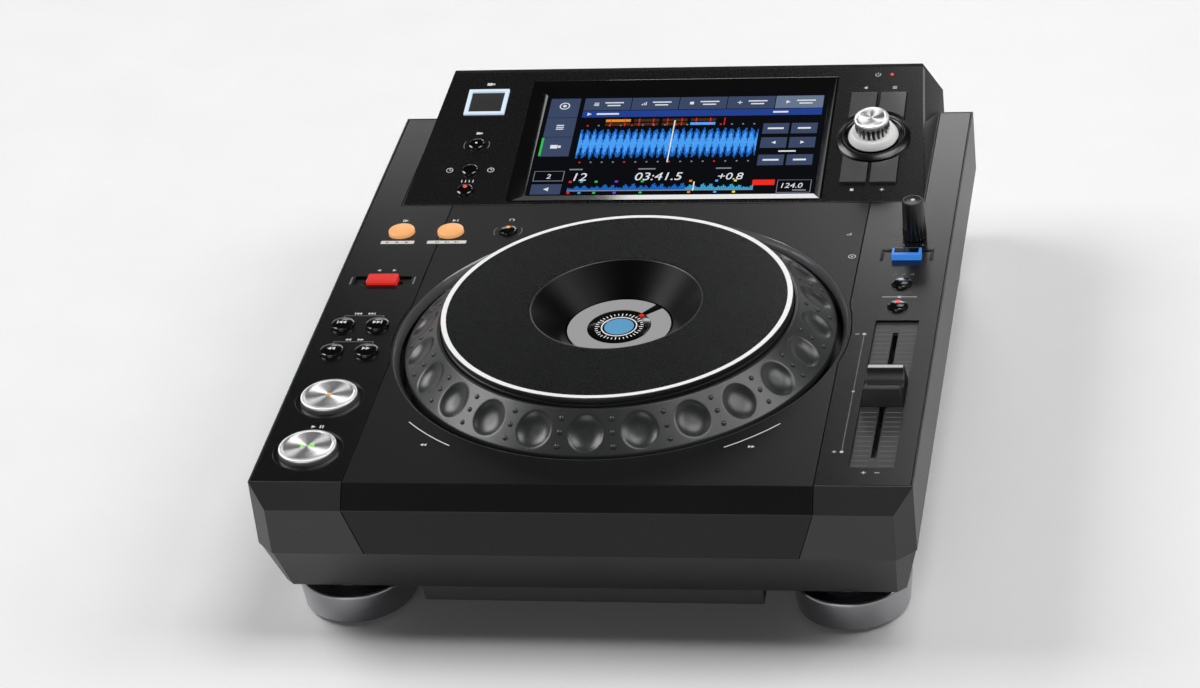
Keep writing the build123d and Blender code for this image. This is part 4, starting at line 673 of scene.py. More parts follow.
class Builder:
    """Mesh of one piece, gathered in millimetres round a spot on a panel."""

    DOT_STEPS, DISC_STEPS, LARGE = 24, 96, 4.0   # corners of dots, and of discs from this radius on

    def __init__(self, panel: Panel, x: float = 0.0, y: float = 0.0, z: float = 0.0) -> None:
        """Start an empty mesh at a spot of a panel's grid.

        Args:
            panel: The panel.
            x: Place to the right.
            y: Place up the panel.
            z: Height off it.
        """
        self.place = panel.matrix @ Matrix.Translation(Vector((x, y, z)) * MM)
        self.mesh = bmesh.new()
        self.finishes: list[Finish] = []

    def mark(self, finish: Finish) -> int:
        """Give a finish its number on this piece.

        Args:
            finish: Finish of some faces.

        Returns:
            Its material index.
        """
        if finish not in self.finishes:
            self.finishes.append(finish)
        return self.finishes.index(finish)

    def point(self, x: float, y: float, z: float) -> Vertex:
        """Add a vertex at a place in millimetres."""
        return self.mesh.verts.new((x * MM, y * MM, z * MM))

    def ring(
        self, radius: float, height: float, angles: Sequence[float], middle: Point = (0.0, 0.0)
    ) -> list[Vertex]:
        """Add vertices round a middle at some angles in radians."""
        return [self.point(*polar(radius, a, middle), height) for a in angles]

    def face(self, corners: Iterable[Vertex], finish: Finish) -> None:
        """Add a face, leaving out repeated corners.

        Args:
            corners: Its corners in order.
            finish: Its finish.
        """
        kept = list(dict.fromkeys(corners))
        if len(kept) > 2:
            self.mesh.faces.new(kept).material_index = self.mark(finish)

    def prism(self, outline: Sequence[Point], finish: Finish, layer: Point = INK) -> None:
        """Add an upright prism of an outline.

        Args:
            outline: Its corners.
            finish: Its finish.
            layer: Heights of its foot and top.
        """
        foot, top = [[self.point(x, y, z) for x, y in outline] for z in layer]
        self.face(top, finish)
        self.face(reversed(foot), finish)
        for i, corner in enumerate(foot):
            j = (i + 1) % len(foot)
            self.face((corner, foot[j], top[j], top[i]), finish)

    def bar(self, x: float, y: float, size: Point, finish: Finish = WHITE_INK, layer: Point = INK) -> None:
        """Add a flat bar of a width and height, centred on a place."""
        wide, tall = size[0] / 2, size[1] / 2
        self.prism(block(x - wide, y - tall, x + wide, y + tall), finish, layer)

    def disc(self, x: float, y: float, radius: float, finish: Finish = WHITE_INK, layer: Point = INK) -> None:
        """Add a flat round dot."""
        steps = self.DOT_STEPS if radius < self.LARGE else self.DISC_STEPS
        self.prism([polar(radius, a, (x, y)) for a in turns(steps)], finish, layer)

    def arc(
        self, middle: Point, radii: Point, span: Point = FULL, finish: Finish = WHITE_INK, layer: Point = INK
    ) -> None:
        """Add a flat band along an arc.

        Args:
            middle: Centre of the arc.
            radii: Inner and outer radius.
            span: Start and end angle in degrees.
            finish: Its finish.
            layer: Heights of its foot and top.
        """
        start, sweep = span[0], span[1] - span[0]
        steps = max(4, int(abs(sweep) / ARC_STEP))
        angles = [math.radians(start + sweep * i / steps) for i in range(steps + 1)]
        (inner, outer), (low, high) = radii, layer
        corners = ((inner, low), (outer, low), (outer, high), (inner, high))
        rows = [self.ring(radius, height, angles, middle) for radius, height in corners]
        for i in range(steps):
            for row, other in zip(rows, rows[1:] + rows[:1]):
                self.face((row[i], row[i + 1], other[i + 1], other[i]), finish)
        for end in (0, steps):
            self.face([row[end] for row in rows], finish)

    def symbol(
        self, sign: Symbol, x: float, y: float, size: float, finish: Finish = WHITE_INK, layer: Point = INK
    ) -> None:
        """Add a transport sign of a height, centred on a place."""
        for outline in sign.value:
            self.prism([(x + a * size, y + b * size) for a, b in outline], finish, layer)

    def digits(self, text: str, x: float, y: float, size: float, finish: Finish, layer: Point) -> None:
        """Add plain slanted figures that start at a place.

        Args:
            text: The figures.
            x: Left end.
            y: Foot line.
            size: Letter size in millimetres.
            finish: Their finish.
            layer: Heights of their foot and top.
        """
        low, high = layer
        curve = bpy.data.curves.new("figures", "FONT")
        curve.body = text
        curve.size = size * MM
        curve.extrude = (high - low) / 2 * MM
        curve.resolution_u = 4
        curve.shear = 0.15
        holder = bpy.data.objects.new("figures", curve)
        drawn = holder.to_mesh()
        drawn.transform(Matrix.Translation(Vector((x, y, (high + low) / 2)) * MM))
        known = len(self.mesh.faces)
        self.mesh.from_mesh(drawn)
        self.mesh.faces.ensure_lookup_table()
        index = self.mark(finish)
        for face in self.mesh.faces[known:]:
            face.material_index = index
        holder.to_mesh_clear()
        bpy.data.objects.remove(holder)
        bpy.data.curves.remove(curve)

    def lathe(
        self,
        profile: Sequence[Sequence[float]],
        finish: Finish,
        steps: int = 96,
        closed: bool = False,
        middle: Point = (0.0, 0.0),
        flutes: tuple[int, float] = (1, 0.0),
    ) -> None:
        """Add a turned form.

        Args:
            profile: Radius, height and, where the row is fluted, a share of the flutes' depth.
            finish: Its finish.
            steps: Corners round the axis.
            closed: Whether the last row joins the first.
            middle: Place of the axis.
            flutes: Number of flutes and their depth.
        """
        count, depth = flutes
        rows = []
        for radius, height, *share in profile:
            if radius == 0:
                rows.append([self.point(*middle, height)])
                continue
            cut = depth * (share[0] if share else 0.0)
            row = []
            for angle in turns(steps):
                reach = radius - cut * (0.5 - 0.5 * math.cos(count * angle))
                row.append(self.point(*polar(reach, angle, middle), height))
            rows.append(row)
        self.skin(rows, finish, closed)

    def skin(self, rows: Sequence[Sequence[Vertex]], finish: Finish, closed: bool = False) -> None:
        """Join rings of vertices, or a single point, by faces.

        Args:
            rows: The rings in order.
            finish: Finish of the faces.
            closed: Whether the last ring joins the first.
        """
        pairs = list(zip(rows, rows[1:]))
        if closed:
            pairs.append((rows[-1], rows[0]))
        for row, other in pairs:
            steps = max(len(row), len(other))
            for i in range(steps):
                here, ahead = [(ring[i % len(ring)], ring[(i + 1) % len(ring)]) for ring in (row, other)]
                self.face((*here, *reversed(ahead)), finish)

    def weld(self) -> None:
        """Join vertices that lie on each other."""
        bmesh.ops.remove_doubles(self.mesh, verts=self.mesh.verts, dist=WELD)

    def finish(
        self, name: str, body: str = CHASSIS, slot: str | None = None, replaces: Sequence[str] = ()
    ) -> bpy.types.Object:
        """Turn the mesh into a piece that rides on a body.

        Args:
            name: Name of the piece.
            body: CAD body that carries it.
            slot: Not used.
            replaces: CAD nodes that it stands for.

        Returns:
            The piece.
        """
        bmesh.ops.recalc_face_normals(self.mesh, faces=self.mesh.faces)
        piece = make_object(self.mesh, name, self.finishes)
        piece.matrix_world = self.place
        return settle(piece, body, replaces)


def rounded(
    node: str, name: str, finish: Finish, edge: float, crease: float = SMOOTH_ANGLE
) -> bpy.types.Object:
    """Copy a CAD node with its sharp edges rounded, to stand for the node.

    Args:
        node: Name of the CAD node.
        name: Name of the piece.
        finish: Its finish.
        edge: Width of the rounding in millimetres.
        crease: Angle from which an edge stays crisp.

    Returns:
        The piece.
    """
    mesh = welded(node)
    bmesh.ops.dissolve_limit(mesh, angle_limit=FLAT_ANGLE, verts=mesh.verts, edges=mesh.edges)
    sharp = [e for e in mesh.edges if e.is_manifold and e.calc_face_angle(0.0) > SMOOTH_ANGLE]
    bmesh.ops.bevel(
        mesh, geom=sharp, offset=edge * MM, segments=2, profile=0.6, affect="EDGES", clamp_overlap=True
    )
    for face in mesh.faces:
        face.material_index = 0
    piece = make_object(mesh, name, [finish], crease)
    piece.modifiers.new("flat_faces", "WEIGHTED_NORMAL").keep_sharp = True
    return settle(piece, frame["nodes"][node]["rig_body"], [node])


def repaint(nodes: Iterable[str], finish: Finish) -> None:
    """Give CAD nodes that keep their own shape a finish.

    Args:
        nodes: Names of the nodes.
        finish: Their finish.
    """
    for node in nodes:
        slots = frame["nodes"][node].data.materials
        slots.clear()
        slots.append(finish.material())
        LOG.info("%s keeps its shape and gets %s", node, finish.name)


@dataclass
class Case:
    """Mouldings, panels, feet and bottom plate."""

    deck: Panel
    case_edge: float = 0.5
    deck_edge: float = 0.35
    strip_edge: float = 0.3
    hood_edge: float = 0.7
    pan_edge: float = 0.4
    facet_drop: float = 10.0         # from the deck down to the joint under the front facet
    corner_cut: float = 8.4
    seam: float = 0.5                # height of that joint
    seam_layer: Point = (-0.3, -0.01)
    neck: float = 19.0               # radius of a foot's neck
    neck_height: float = 5.8

    def build(self) -> None:
        """Round the case's mouldings and turn its feet."""
        rounded("upper_case", "upper_case_moulding", CASE, self.case_edge)
        rounded("lower_case", "lower_case_tub", CASE, self.case_edge)
        rounded("centre_panel", "deck_panel", DECK, self.deck_edge)
        rounded("left_panel", "left_strip", STRIP, self.strip_edge)
        rounded("right_panel", "right_strip", STRIP, self.strip_edge)
        rounded("rear_hood", "display_hood", HOOD, self.hood_edge)
        rounded("bottom_plate", "bottom_pan", PAN, self.pan_edge)
        self.feet()
        self.seams()
        repaint(["switch_boards", "main_board", "power_supply"], BOARD)
        repaint(["jog_hub", "slit_disc", "jog_post", "selector_collar"], INNER)
        repaint(["fader_body", "fader_stem", "speed_pot", "selector_encoder"], ZINC)

    def seams(self) -> None:
        """Dark joint under the front facet, across the front panel between the cut corners."""
        box = self.deck.limits("upper_case")
        joint_line = Builder(self.deck.side((0.0, box.low.y, -self.facet_drop), math.pi / 2, "X"))
        wide = box.size.x - 2 * self.corner_cut
        joint_line.bar(0, -self.seam / 2, (wide, self.seam), BLACK_INK, self.seam_layer)
        joint_line.finish("front_facet_joint")

    def feet(self) -> None:
        """Turn four tapered metal feet with a groove below the neck, and their rubber pads."""
        metal, pads = Builder(self.deck), Builder(self.deck)
        for foot in self.deck.islands("feet"):
            radius, low, high = foot.size.x / 2, foot.low.z, foot.high.z
            top = high - self.neck_height
            profile = [
                (0, low), (radius - 2.4, low), (radius - 1.7, low + 0.3), (radius - 1.5, low + 0.9),
                (radius - 0.1, top - 2.2), (radius, top - 1.4), (radius - 0.2, top - 0.5),
                (radius - 0.8, top), (self.neck + 1.0, top), (self.neck, top + 0.6), (self.neck, high),
                (0, high),
            ]
            metal.lathe(profile, GUNMETAL, 128, middle=foot.middle[:2])
        for pad in self.deck.islands("foot_pads"):
            radius, low, high = pad.size.x / 2, pad.low.z, pad.high.z
            profile = [(0, low), (radius - 0.6, low), (radius, low + 0.5), (radius, high), (0, high)]
            pads.lathe(profile, RUBBER, middle=pad.middle[:2])
        metal.finish("turned_feet", CHASSIS, "foot_metal", ["feet"])
        pads.finish("rubber_foot_pads", CHASSIS, "rubber", ["foot_pads"])


@dataclass
class JogDial:
    """Polished mouth of the wheel's well and the dimpled dial in it."""

    deck: Panel
    well_radius: float = 110.0
    well_bevel: Point = (2.6, 3.6)   # width and depth of the polished bevel
    well_wall: float = 0.6           # straight wall below it
    dimples: int = 24
    dimple: Point = (8.25, 8.9)      # half width round the dial and half height up the cone
    dimple_depth: float = 2.2
    dimple_soft: float = 0.06        # share of a dimple's reach over which its rim is rounded
    dimple_steps: int = 40           # corners round the dial for each dimple
    cone_run: float = 17.5
    cone_rows: int = 44
    cone_margin: float = 0.015       # share of the cone that the edges above and below take
    rim: float = 3.0
    lip: float = 1.7
    step: float = 4.5                # from the top down to the platter's seat
    seat: Point = (7.3, 3.0)         # reach and thickness of the seat
    edge: float = 0.35
    bump: Point = (1.3, 0.75)        # radius and height of the small bumps between the dimples
    bump_rows: tuple[Point, ...] = ((1.0, -0.3), (0.92, 0.35), (0.62, 0.8))   # shares of both
    bump_steps: int = 12
    bump_places: tuple[float, ...] = (0.2, 0.5, 0.8)

    def build(self) -> None:
        """Build the well's mouth and the dial."""
        self.well()
        self.dial()

    def well(self) -> None:
        """Polished bevel round the well's mouth, with a rolled upper edge."""
        band = Builder(self.deck)
        radius, (wide, deep) = self.well_radius, self.well_bevel
        foot = -deep - self.well_wall
        profile = [
            (radius + 0.05, 0.05), (radius - 0.15, 0.02), (radius - 0.35, -0.2), (radius - wide, -deep),
            (radius - wide, foot), (radius + 0.05, foot),
        ]
        # the band's lighter grey is a painted highlight on the polished bevel
        band.lathe(profile, WELL_HIGHLIGHT_GREY, 256, closed=True)
        band.finish("well_bevel_ring")

    def sink(self, angle: float, share: float, cone: float, radius: float) -> float:
        """Depth of the dimples at a place on the cone.

        Args:
            angle: Angle round the wheel in radians.
            share: Place up the cone from 0 to 1.
            cone: Length of the cone's side.
            radius: Mean radius of the cone.

        Returns:
            Depth in millimetres.
        """
        pitch = 2 * math.pi / self.dimples
        off = (angle + pitch / 2) % pitch - pitch / 2
        across = off * radius / self.dimple[0]
        along = (share - 0.5) * cone / self.dimple[1]
        far, soft = math.hypot(across, along), self.dimple_soft
        if far > 1 + soft:
            return 0.0
        bowl = 1 - far ** 3
        if far > 1 - soft:
            rest = (1 + soft - far) / (2 * soft)
            bowl = rest * rest * 3 * soft
        return self.dimple_depth * bowl

    def dial(self) -> None:
        """Grip ring: a cone with pressed dimples and three small bumps between each two."""
        box = self.deck.limits("jog_dial")
        outer, foot, top = box.size.x / 2, box.low.z + self.rim, box.high.z
        inner, rise = outer - self.cone_run, top - foot
        bore = inner - self.lip
        cone = math.hypot(self.cone_run, rise)
        normal = (rise / cone, self.cone_run / cone)
        grip = Builder(self.deck)
        angles = turns(self.dimples * self.dimple_steps, -math.pi / 2)
        e, low = self.edge, box.low.z
        below = [(outer - self.rim, low), (outer - e, low), (outer, low + e), (outer, foot - e)]
        seat, reach, under = top - self.step, bore - self.seat[0], top - self.step - self.seat[1]
        above = [
            (inner + 0.1, top - 0.08), (inner - e, top), (bore + e, top), (bore, top - e), (bore, seat),
            (reach, seat), (reach, under), (bore, under),
        ]
        rows = [grip.ring(radius, height, angles) for radius, height in below]
        for k in range(self.cone_rows + 1):
            share = self.cone_margin + (1 - 2 * self.cone_margin) * k / self.cone_rows
            row = []
            for a in angles:
                depth = self.sink(a + math.pi / 2, share, cone, (outer + inner) / 2)
                radius = outer - self.cone_run * share - normal[0] * depth
                row.append(grip.point(*polar(radius, a), foot + rise * share - normal[1] * depth))
            rows.append(row)
        rows += [grip.ring(radius, height, angles) for radius, height in above]
        grip.skin(rows, GRIP, closed=True)
        for turn in turns(self.dimples, math.pi / self.dimples - math.pi / 2):
            for share in self.bump_places:
                self.add_bump(grip, turn, outer - self.cone_run * share, foot + rise * share, normal)
        grip.finish("jog_dial_grip", "jog_wheel", "dial_grey", ["jog_dial"])

    def add_bump(self, grip: Builder, turn: float, radius: float, height: float, normal: Point) -> None:
        """Add one small round bump that stands square to the cone.

        Args:
            grip: Mesh of the dial.
            turn: Angle round the wheel in radians.
            radius: Distance of its seat from the axis.
            height: Height of its seat.
            normal: Share of the cone's normal that points outwards, and upwards.
        """
        wide, tall = self.bump
        outward = Vector((*polar(normal[0], turn), normal[1]))
        side = Vector((-math.sin(turn), math.cos(turn), 0.0))
        up = outward.cross(side)
        seat = Vector((*polar(radius, turn), height))
        rows = []
        for reach, lift in self.bump_rows:
            ring = []
            for a in turns(self.bump_steps):
                spot = seat + (side * math.cos(a) + up * math.sin(a)) * wide * reach + outward * tall * lift
                ring.append(grip.point(*spot))
            rows.append(ring)
        rows.append([grip.point(*(seat + outward * tall))])
        grip.skin(rows, GRIP)


@dataclass
class Platter:
    """Sanded platter with a dished satin middle, and the white ring near its edge."""

    deck: Panel
    wall: float = 3.5                # thickness of the skirt and of the plate
    groove: float = 0.7              # depth of the groove in the side wall
    edge: float = 0.3
    ring_width: float = 2.5
    ring_seat: float = 0.4
    ring_deep: float = 0.75
    ring_edge: float = 0.12
    hole_gap: float = 0.5            # from the still display to the hole's edge
    hole_wall: float = 2.5
    dish_run: float = 15.0
    dish_under: float = 12.1
    steps: int = 256

    def build(self) -> None:
        """Turn the platter in bands of one finish each, then the white ring."""
        box, display = self.deck.limits("jog_platter"), self.deck.limits("jog_display")
        outer, low, top = box.size.x / 2, box.low.z, box.high.z
        ring_out = self.deck.limits("jog_trim_ring").size.x / 2
        ring_in = ring_out - self.ring_width
        floor, hole = display.high.z, display.size.x / 2 + self.hole_gap
        dish, skirt, under = hole + self.dish_run, outer - self.wall, top - self.wall
        seat, slot, e = top - self.ring_seat, outer - self.groove, self.edge
        side = [
            (skirt, low), (outer, low), (outer, top - 3.3), (slot, top - 3.0), (slot, top - 2.3),
            (outer - 0.1, top - 2.0), (outer, top - e), (outer - e * 0.3, top - e * 0.3),
            (ring_out + 0.05, top), (ring_out, seat), (ring_in, seat),
        ]
        sanded = [(ring_in, seat), (ring_in - 0.05, top), (dish + 1.6, top), (dish + 0.8, top)]
        brink = [(dish + 0.8, top), (dish + 0.3, top - 0.08), (dish, top - 0.35)]
        slope = [
            (dish, top - 0.35), (dish - 0.4, top - 0.8), (hole + 0.3, floor + 0.3), (hole, floor),
            (hole, floor - self.hole_wall), (hole + self.dish_under, under), (skirt, under), (skirt, low),
        ]
        plate = Builder(self.deck)
        for profile, finish in ((side, KNOB), (sanded, PLATTER), (brink, KNOB), (slope, DISH)):
            plate.lathe(profile, finish, self.steps)
        plate.weld()
        plate.finish("jog_platter_top", "jog_top", "platter_black", ["jog_platter"])
        deep, e, flush = top - self.ring_deep, self.ring_edge, top - 0.01
        band = [
            (ring_in, deep), (ring_out, deep), (ring_out, top - e), (ring_out - e, flush),
            (ring_in + e, flush), (ring_in, top - e),
        ]
        trim = Builder(self.deck)
        trim.lathe(band, TRIM, self.steps, closed=True)
        trim.finish("jog_white_ring", "jog_top", "trim_white", ["jog_trim_ring"])


@dataclass
class CentreDisplay:
    """Still display in the dish: grey band with a pointer, tick ring and a blue disc behind glass."""

    deck: Panel
    edge: float = 0.3
    lit: float = 0.12                # thickness of the lit layers
    sunk: float = 0.1                # how far the glass lies below their top
    pointer: float = 48.0            # where the pointer stands, in degrees
    pointer_gap: float = 6.0         # from there to each end of the grey band
    band: Point = (15.5, 0.4)        # inner radius, and distance from the display's edge
    ticks: int = 36
    tick_ends: tuple[float, float, float] = (9.6, 10.4, 10.4)   # every third tick is longer
    tick_out: float = 11.8
    tick_half: float = 0.22
    line: Point = (8.2, 8.8)
    core: float = 7.2
    mark: Point = (14.0, 1.1)        # place and half width of the red mark

    def build(self) -> None:
        """Turn the glass and lay the lit layers on it."""
        box = self.deck.limits("jog_display")
        radius, low, top = box.size.x / 2, box.low.z, box.high.z
        glass, face = Builder(self.deck), top - self.sunk
        rim = [(0, low), (radius, low), (radius, top - self.edge), (radius - self.edge, face), (0, face)]
        glass.lathe(rim, GLOSS, 128)
        lit = (top - self.lit, top)
        span = (self.pointer + self.pointer_gap, self.pointer + FULL[1] - self.pointer_gap)
        glass.arc((0, 0), (self.band[0], radius - self.band[1]), span, CENTRE_GREY, lit)
        for k, angle in enumerate(turns(self.ticks)):
            tick = spoke(self.tick_ends[k % 3], self.tick_out, self.tick_half, angle)
            glass.prism(tick, CENTRE_WHITE, lit)
        glass.arc((0, 0), self.line, FULL, CENTRE_WHITE, lit)
        glass.disc(0, 0, self.core, CENTRE_BLUE, lit)
        reach, half = self.mark
        glass.prism(spoke(reach - half, reach + half, half, math.radians(self.pointer)), CENTRE_RED, lit)
        glass.finish("jog_centre_display", CHASSIS, "screen", ["jog_display"])


@dataclass
class RoundButton:
    """Round push button: domed cap, flange below the panel, and a sign or a lamp on its top."""

    panel: Panel
    node: str
    crown: float                     # rise of the dome
    cap: Finish = GLOSS
    sign: Symbol | None = None
    sign_size: float = 2.6
    lamp: Finish | None = None
    slot: str = "button_black"

    EDGE = 0.5
    BEND = 0.29                      # share of the edge's width at the middle of its rounding
    DOME_ROWS = 6
    STEM = 1.6
    LAMP_RADIUS = 1.1
    LAMP_PLACE = 0.4                 # share of the cap's radius
    INLAY = (-0.5, 0.02)             # foot and top of the sign, from the cap's top

    def build(self) -> None:
        """Turn the cap and lay its sign or lamp on top."""
        box = self.panel.limits(self.node)
        radius, low, top = box.size.x / 2 - FLANGE, box.low.z, box.high.z
        button = Builder(self.panel, *box.middle[:2])
        e, bend, edge, rows = self.EDGE, self.BEND * self.EDGE, top - self.crown, self.DOME_ROWS
        profile = [(radius * k / rows, top - self.crown * (k / rows) ** 2) for k in range(rows)] + [
            (radius - e, edge), (radius - bend, edge - bend), (radius, edge - e), (radius, FLANGE_TOP),
            (radius + FLANGE, FLANGE_TOP), (radius + FLANGE, FLANGE_FOOT), (self.STEM, FLANGE_FOOT),
            (self.STEM, low), (0, low),
        ]
        button.lathe(profile, self.cap, 72)
        inlay = lifted(self.INLAY, top)
        if self.sign:
            button.symbol(self.sign, 0, 0, self.sign_size, layer=inlay)
        if self.lamp:
            button.disc(0, radius * self.LAMP_PLACE, self.LAMP_RADIUS, self.lamp, inlay)
        button.finish(self.node + "_cap", self.node, self.slot, [self.node])


@dataclass
class TransportDisc:
    """Large spun disc button with a lit sign."""

    panel: Panel
    node: str
    signs: tuple[tuple[Symbol, float], ...]   # each with its place across the disc
    lamp: Finish

    SUNK = 0.35                      # face below the rim
    HOLLOW = 0.06                    # rise of the face towards the rim
    FACE_ROWS = 10
    SIGN = 2.6
    INLAY = (-0.1, 0.08)

    def build(self) -> None:
        """Turn the disc with a rolled rim and a slightly sunk face, and lay its lit sign."""
        box = self.panel.limits(self.node)
        radius, top = box.size.x / 2 - FLANGE, box.high.z
        disc = Builder(self.panel, *box.middle[:2])
        face, rows = top - self.SUNK, self.FACE_ROWS
        profile = [(radius * k / rows, face + self.HOLLOW * (k / rows) ** 2) for k in range(rows - 1)] + [
            (radius - 1.9, face + 0.08), (radius - 1.5, top - 0.06), (radius - 1.1, top),
            (radius - 0.5, top - 0.12), (radius - 0.12, top - 0.5), (radius, top - 1.0), (radius, FLANGE_TOP),
            (radius + FLANGE, FLANGE_TOP), (radius + FLANGE, FLANGE_FOOT), (0, FLANGE_FOOT),
        ]
        disc.lathe(profile, SPUN, 144)
        for sign, x in self.signs:
            disc.symbol(sign, x, 0, self.SIGN, self.lamp, lifted(self.INLAY, face))
        disc.finish(self.node + "_disc", self.node, "button_metal", [self.node])


@dataclass
class LeftStrip:
    """Transport buttons, direction lever and loop buttons with their print."""

    deck: Panel
    pair_crown: float = 0.5
    loop_crown: float = 0.9
    reloop_crown: float = 0.4
    lever_edge: float = 0.5
    sign: float = 2.4
    small_sign: float = 2.0
    tiny_sign: float = 1.5
    play_label: float = 19.5         # labels: from a control's middle up to its sign
    pair_label: float = 11.4
    loop_label: float = 11.5
    pair_line: float = 9.4           # bracket over two buttons, its overhang, drop and line width
    pair_over: float = 3.0
    pair_drop: float = 1.4
    line: float = 0.4
    lever_label: float = 6.0
    lever_end: float = 16.2          # bars at the ends of the lever's slot
    lever_bar: Point = (0.8, 7.0)
    bar_drop: float = 10.6           # from a loop button down to its white bar
    bar_tall: float = 3.0
    reloop_arc: Point = (7.0, 7.4)
    reloop_half: float = 32.0        # half the span of each arc, in degrees

    PAIRS = {"search": (Symbol.BACK, Symbol.FORWARD), "track": (Symbol.PREVIOUS, Symbol.NEXT)}
    LOOPS = {"loop_in": (Symbol.LOOP_IN, 17.4), "loop_out": (Symbol.LOOP_OUT, 20.4)}   # width of the bar

    def build(self) -> None:
        """Build the strip's controls from front to back, then its print."""
        deck = self.deck
        TransportDisc(deck, "play_button", ((Symbol.PLAY, -2.2), (Symbol.PAUSE, 2.2)), GREEN_LAMP).build()
        TransportDisc(deck, "cue_button", ((Symbol.STOP, 0.0),), AMBER_LAMP).build()
        for pair, signs in self.PAIRS.items():
            for way, sign in zip(("back", "next"), signs):
                RoundButton(deck, f"{pair}_{way}_button", self.pair_crown, sign=sign).build()
        for loop in self.LOOPS:
            RoundButton(deck, f"{loop}_button", self.loop_crown, ORANGE_CAP, slot="button_orange").build()
        RoundButton(deck, "reloop_button", self.reloop_crown, lamp=AMBER_LAMP).build()
        rounded("direction_lever", "direction_lever_cap", RED_CAP, self.lever_edge)
        self.print_signs()

    def print_signs(self) -> None:
        """Print the strip's signs and the two white bars of the loop buttons."""
        ink, limits = Builder(self.deck), self.deck.limits
        play = limits("play_button").middle
        for sign, off in ((Symbol.PLAY, -2.0), (Symbol.PAUSE, 2.0)):
            ink.symbol(sign, play.x + off, play.y + self.play_label, self.sign)
        for pair, signs in self.PAIRS.items():
            left, right = [limits(f"{pair}_{way}_button").middle for way in ("back", "next")]
            x, y, wide = (left.x + right.x) / 2, left.y + self.pair_line, right.x - left.x + self.pair_over
            ink.bar(x, y, (wide, self.line), GREY_INK)
            for side, sign in zip((-1, 1), signs):
                end = (self.line, self.pair_drop)
                ink.bar(x + side * (wide - self.line) / 2, y - self.pair_drop / 2, end, GREY_INK)
                ink.symbol(sign, x + side * 3.2, left.y + self.pair_label, self.small_sign)
        lever = limits("direction_lever")
        for sign, side in ((Symbol.LEFT, -1), (Symbol.PLAY, 1)):
            ink.symbol(sign, lever.middle.x + side * 4.0, lever.high.y + self.lever_label, self.small_sign)
            ink.bar(lever.middle.x + side * self.lever_end, lever.middle.y, self.lever_bar, GREY_INK)
        for loop, (sign, wide) in self.LOOPS.items():
            spot = limits(f"{loop}_button").middle
            ink.symbol(sign, spot.x, spot.y + self.loop_label, self.sign)
            ink.bar(spot.x, spot.y - self.bar_drop, (wide, self.bar_tall))
            for off in (-5.0, 0.0, 5.0):
                ink.symbol(sign, spot.x + off, spot.y - self.bar_drop, self.tiny_sign, BLACK_INK, OVERPRINT)
        spot = limits("reloop_button").middle
        ink.arc((spot.x, spot.y + self.loop_label), (1.0, 1.4), (-60, 230))
        ink.symbol(Symbol.PLAY, spot.x - 0.9, spot.y + self.loop_label + 0.9, 1.3)
        for turn in (0, 180):
            span = (turn - self.reloop_half, turn + self.reloop_half)
            ink.arc(spot[:2], self.reloop_arc, span, GREY_INK)
        ink.finish("left_strip_print")


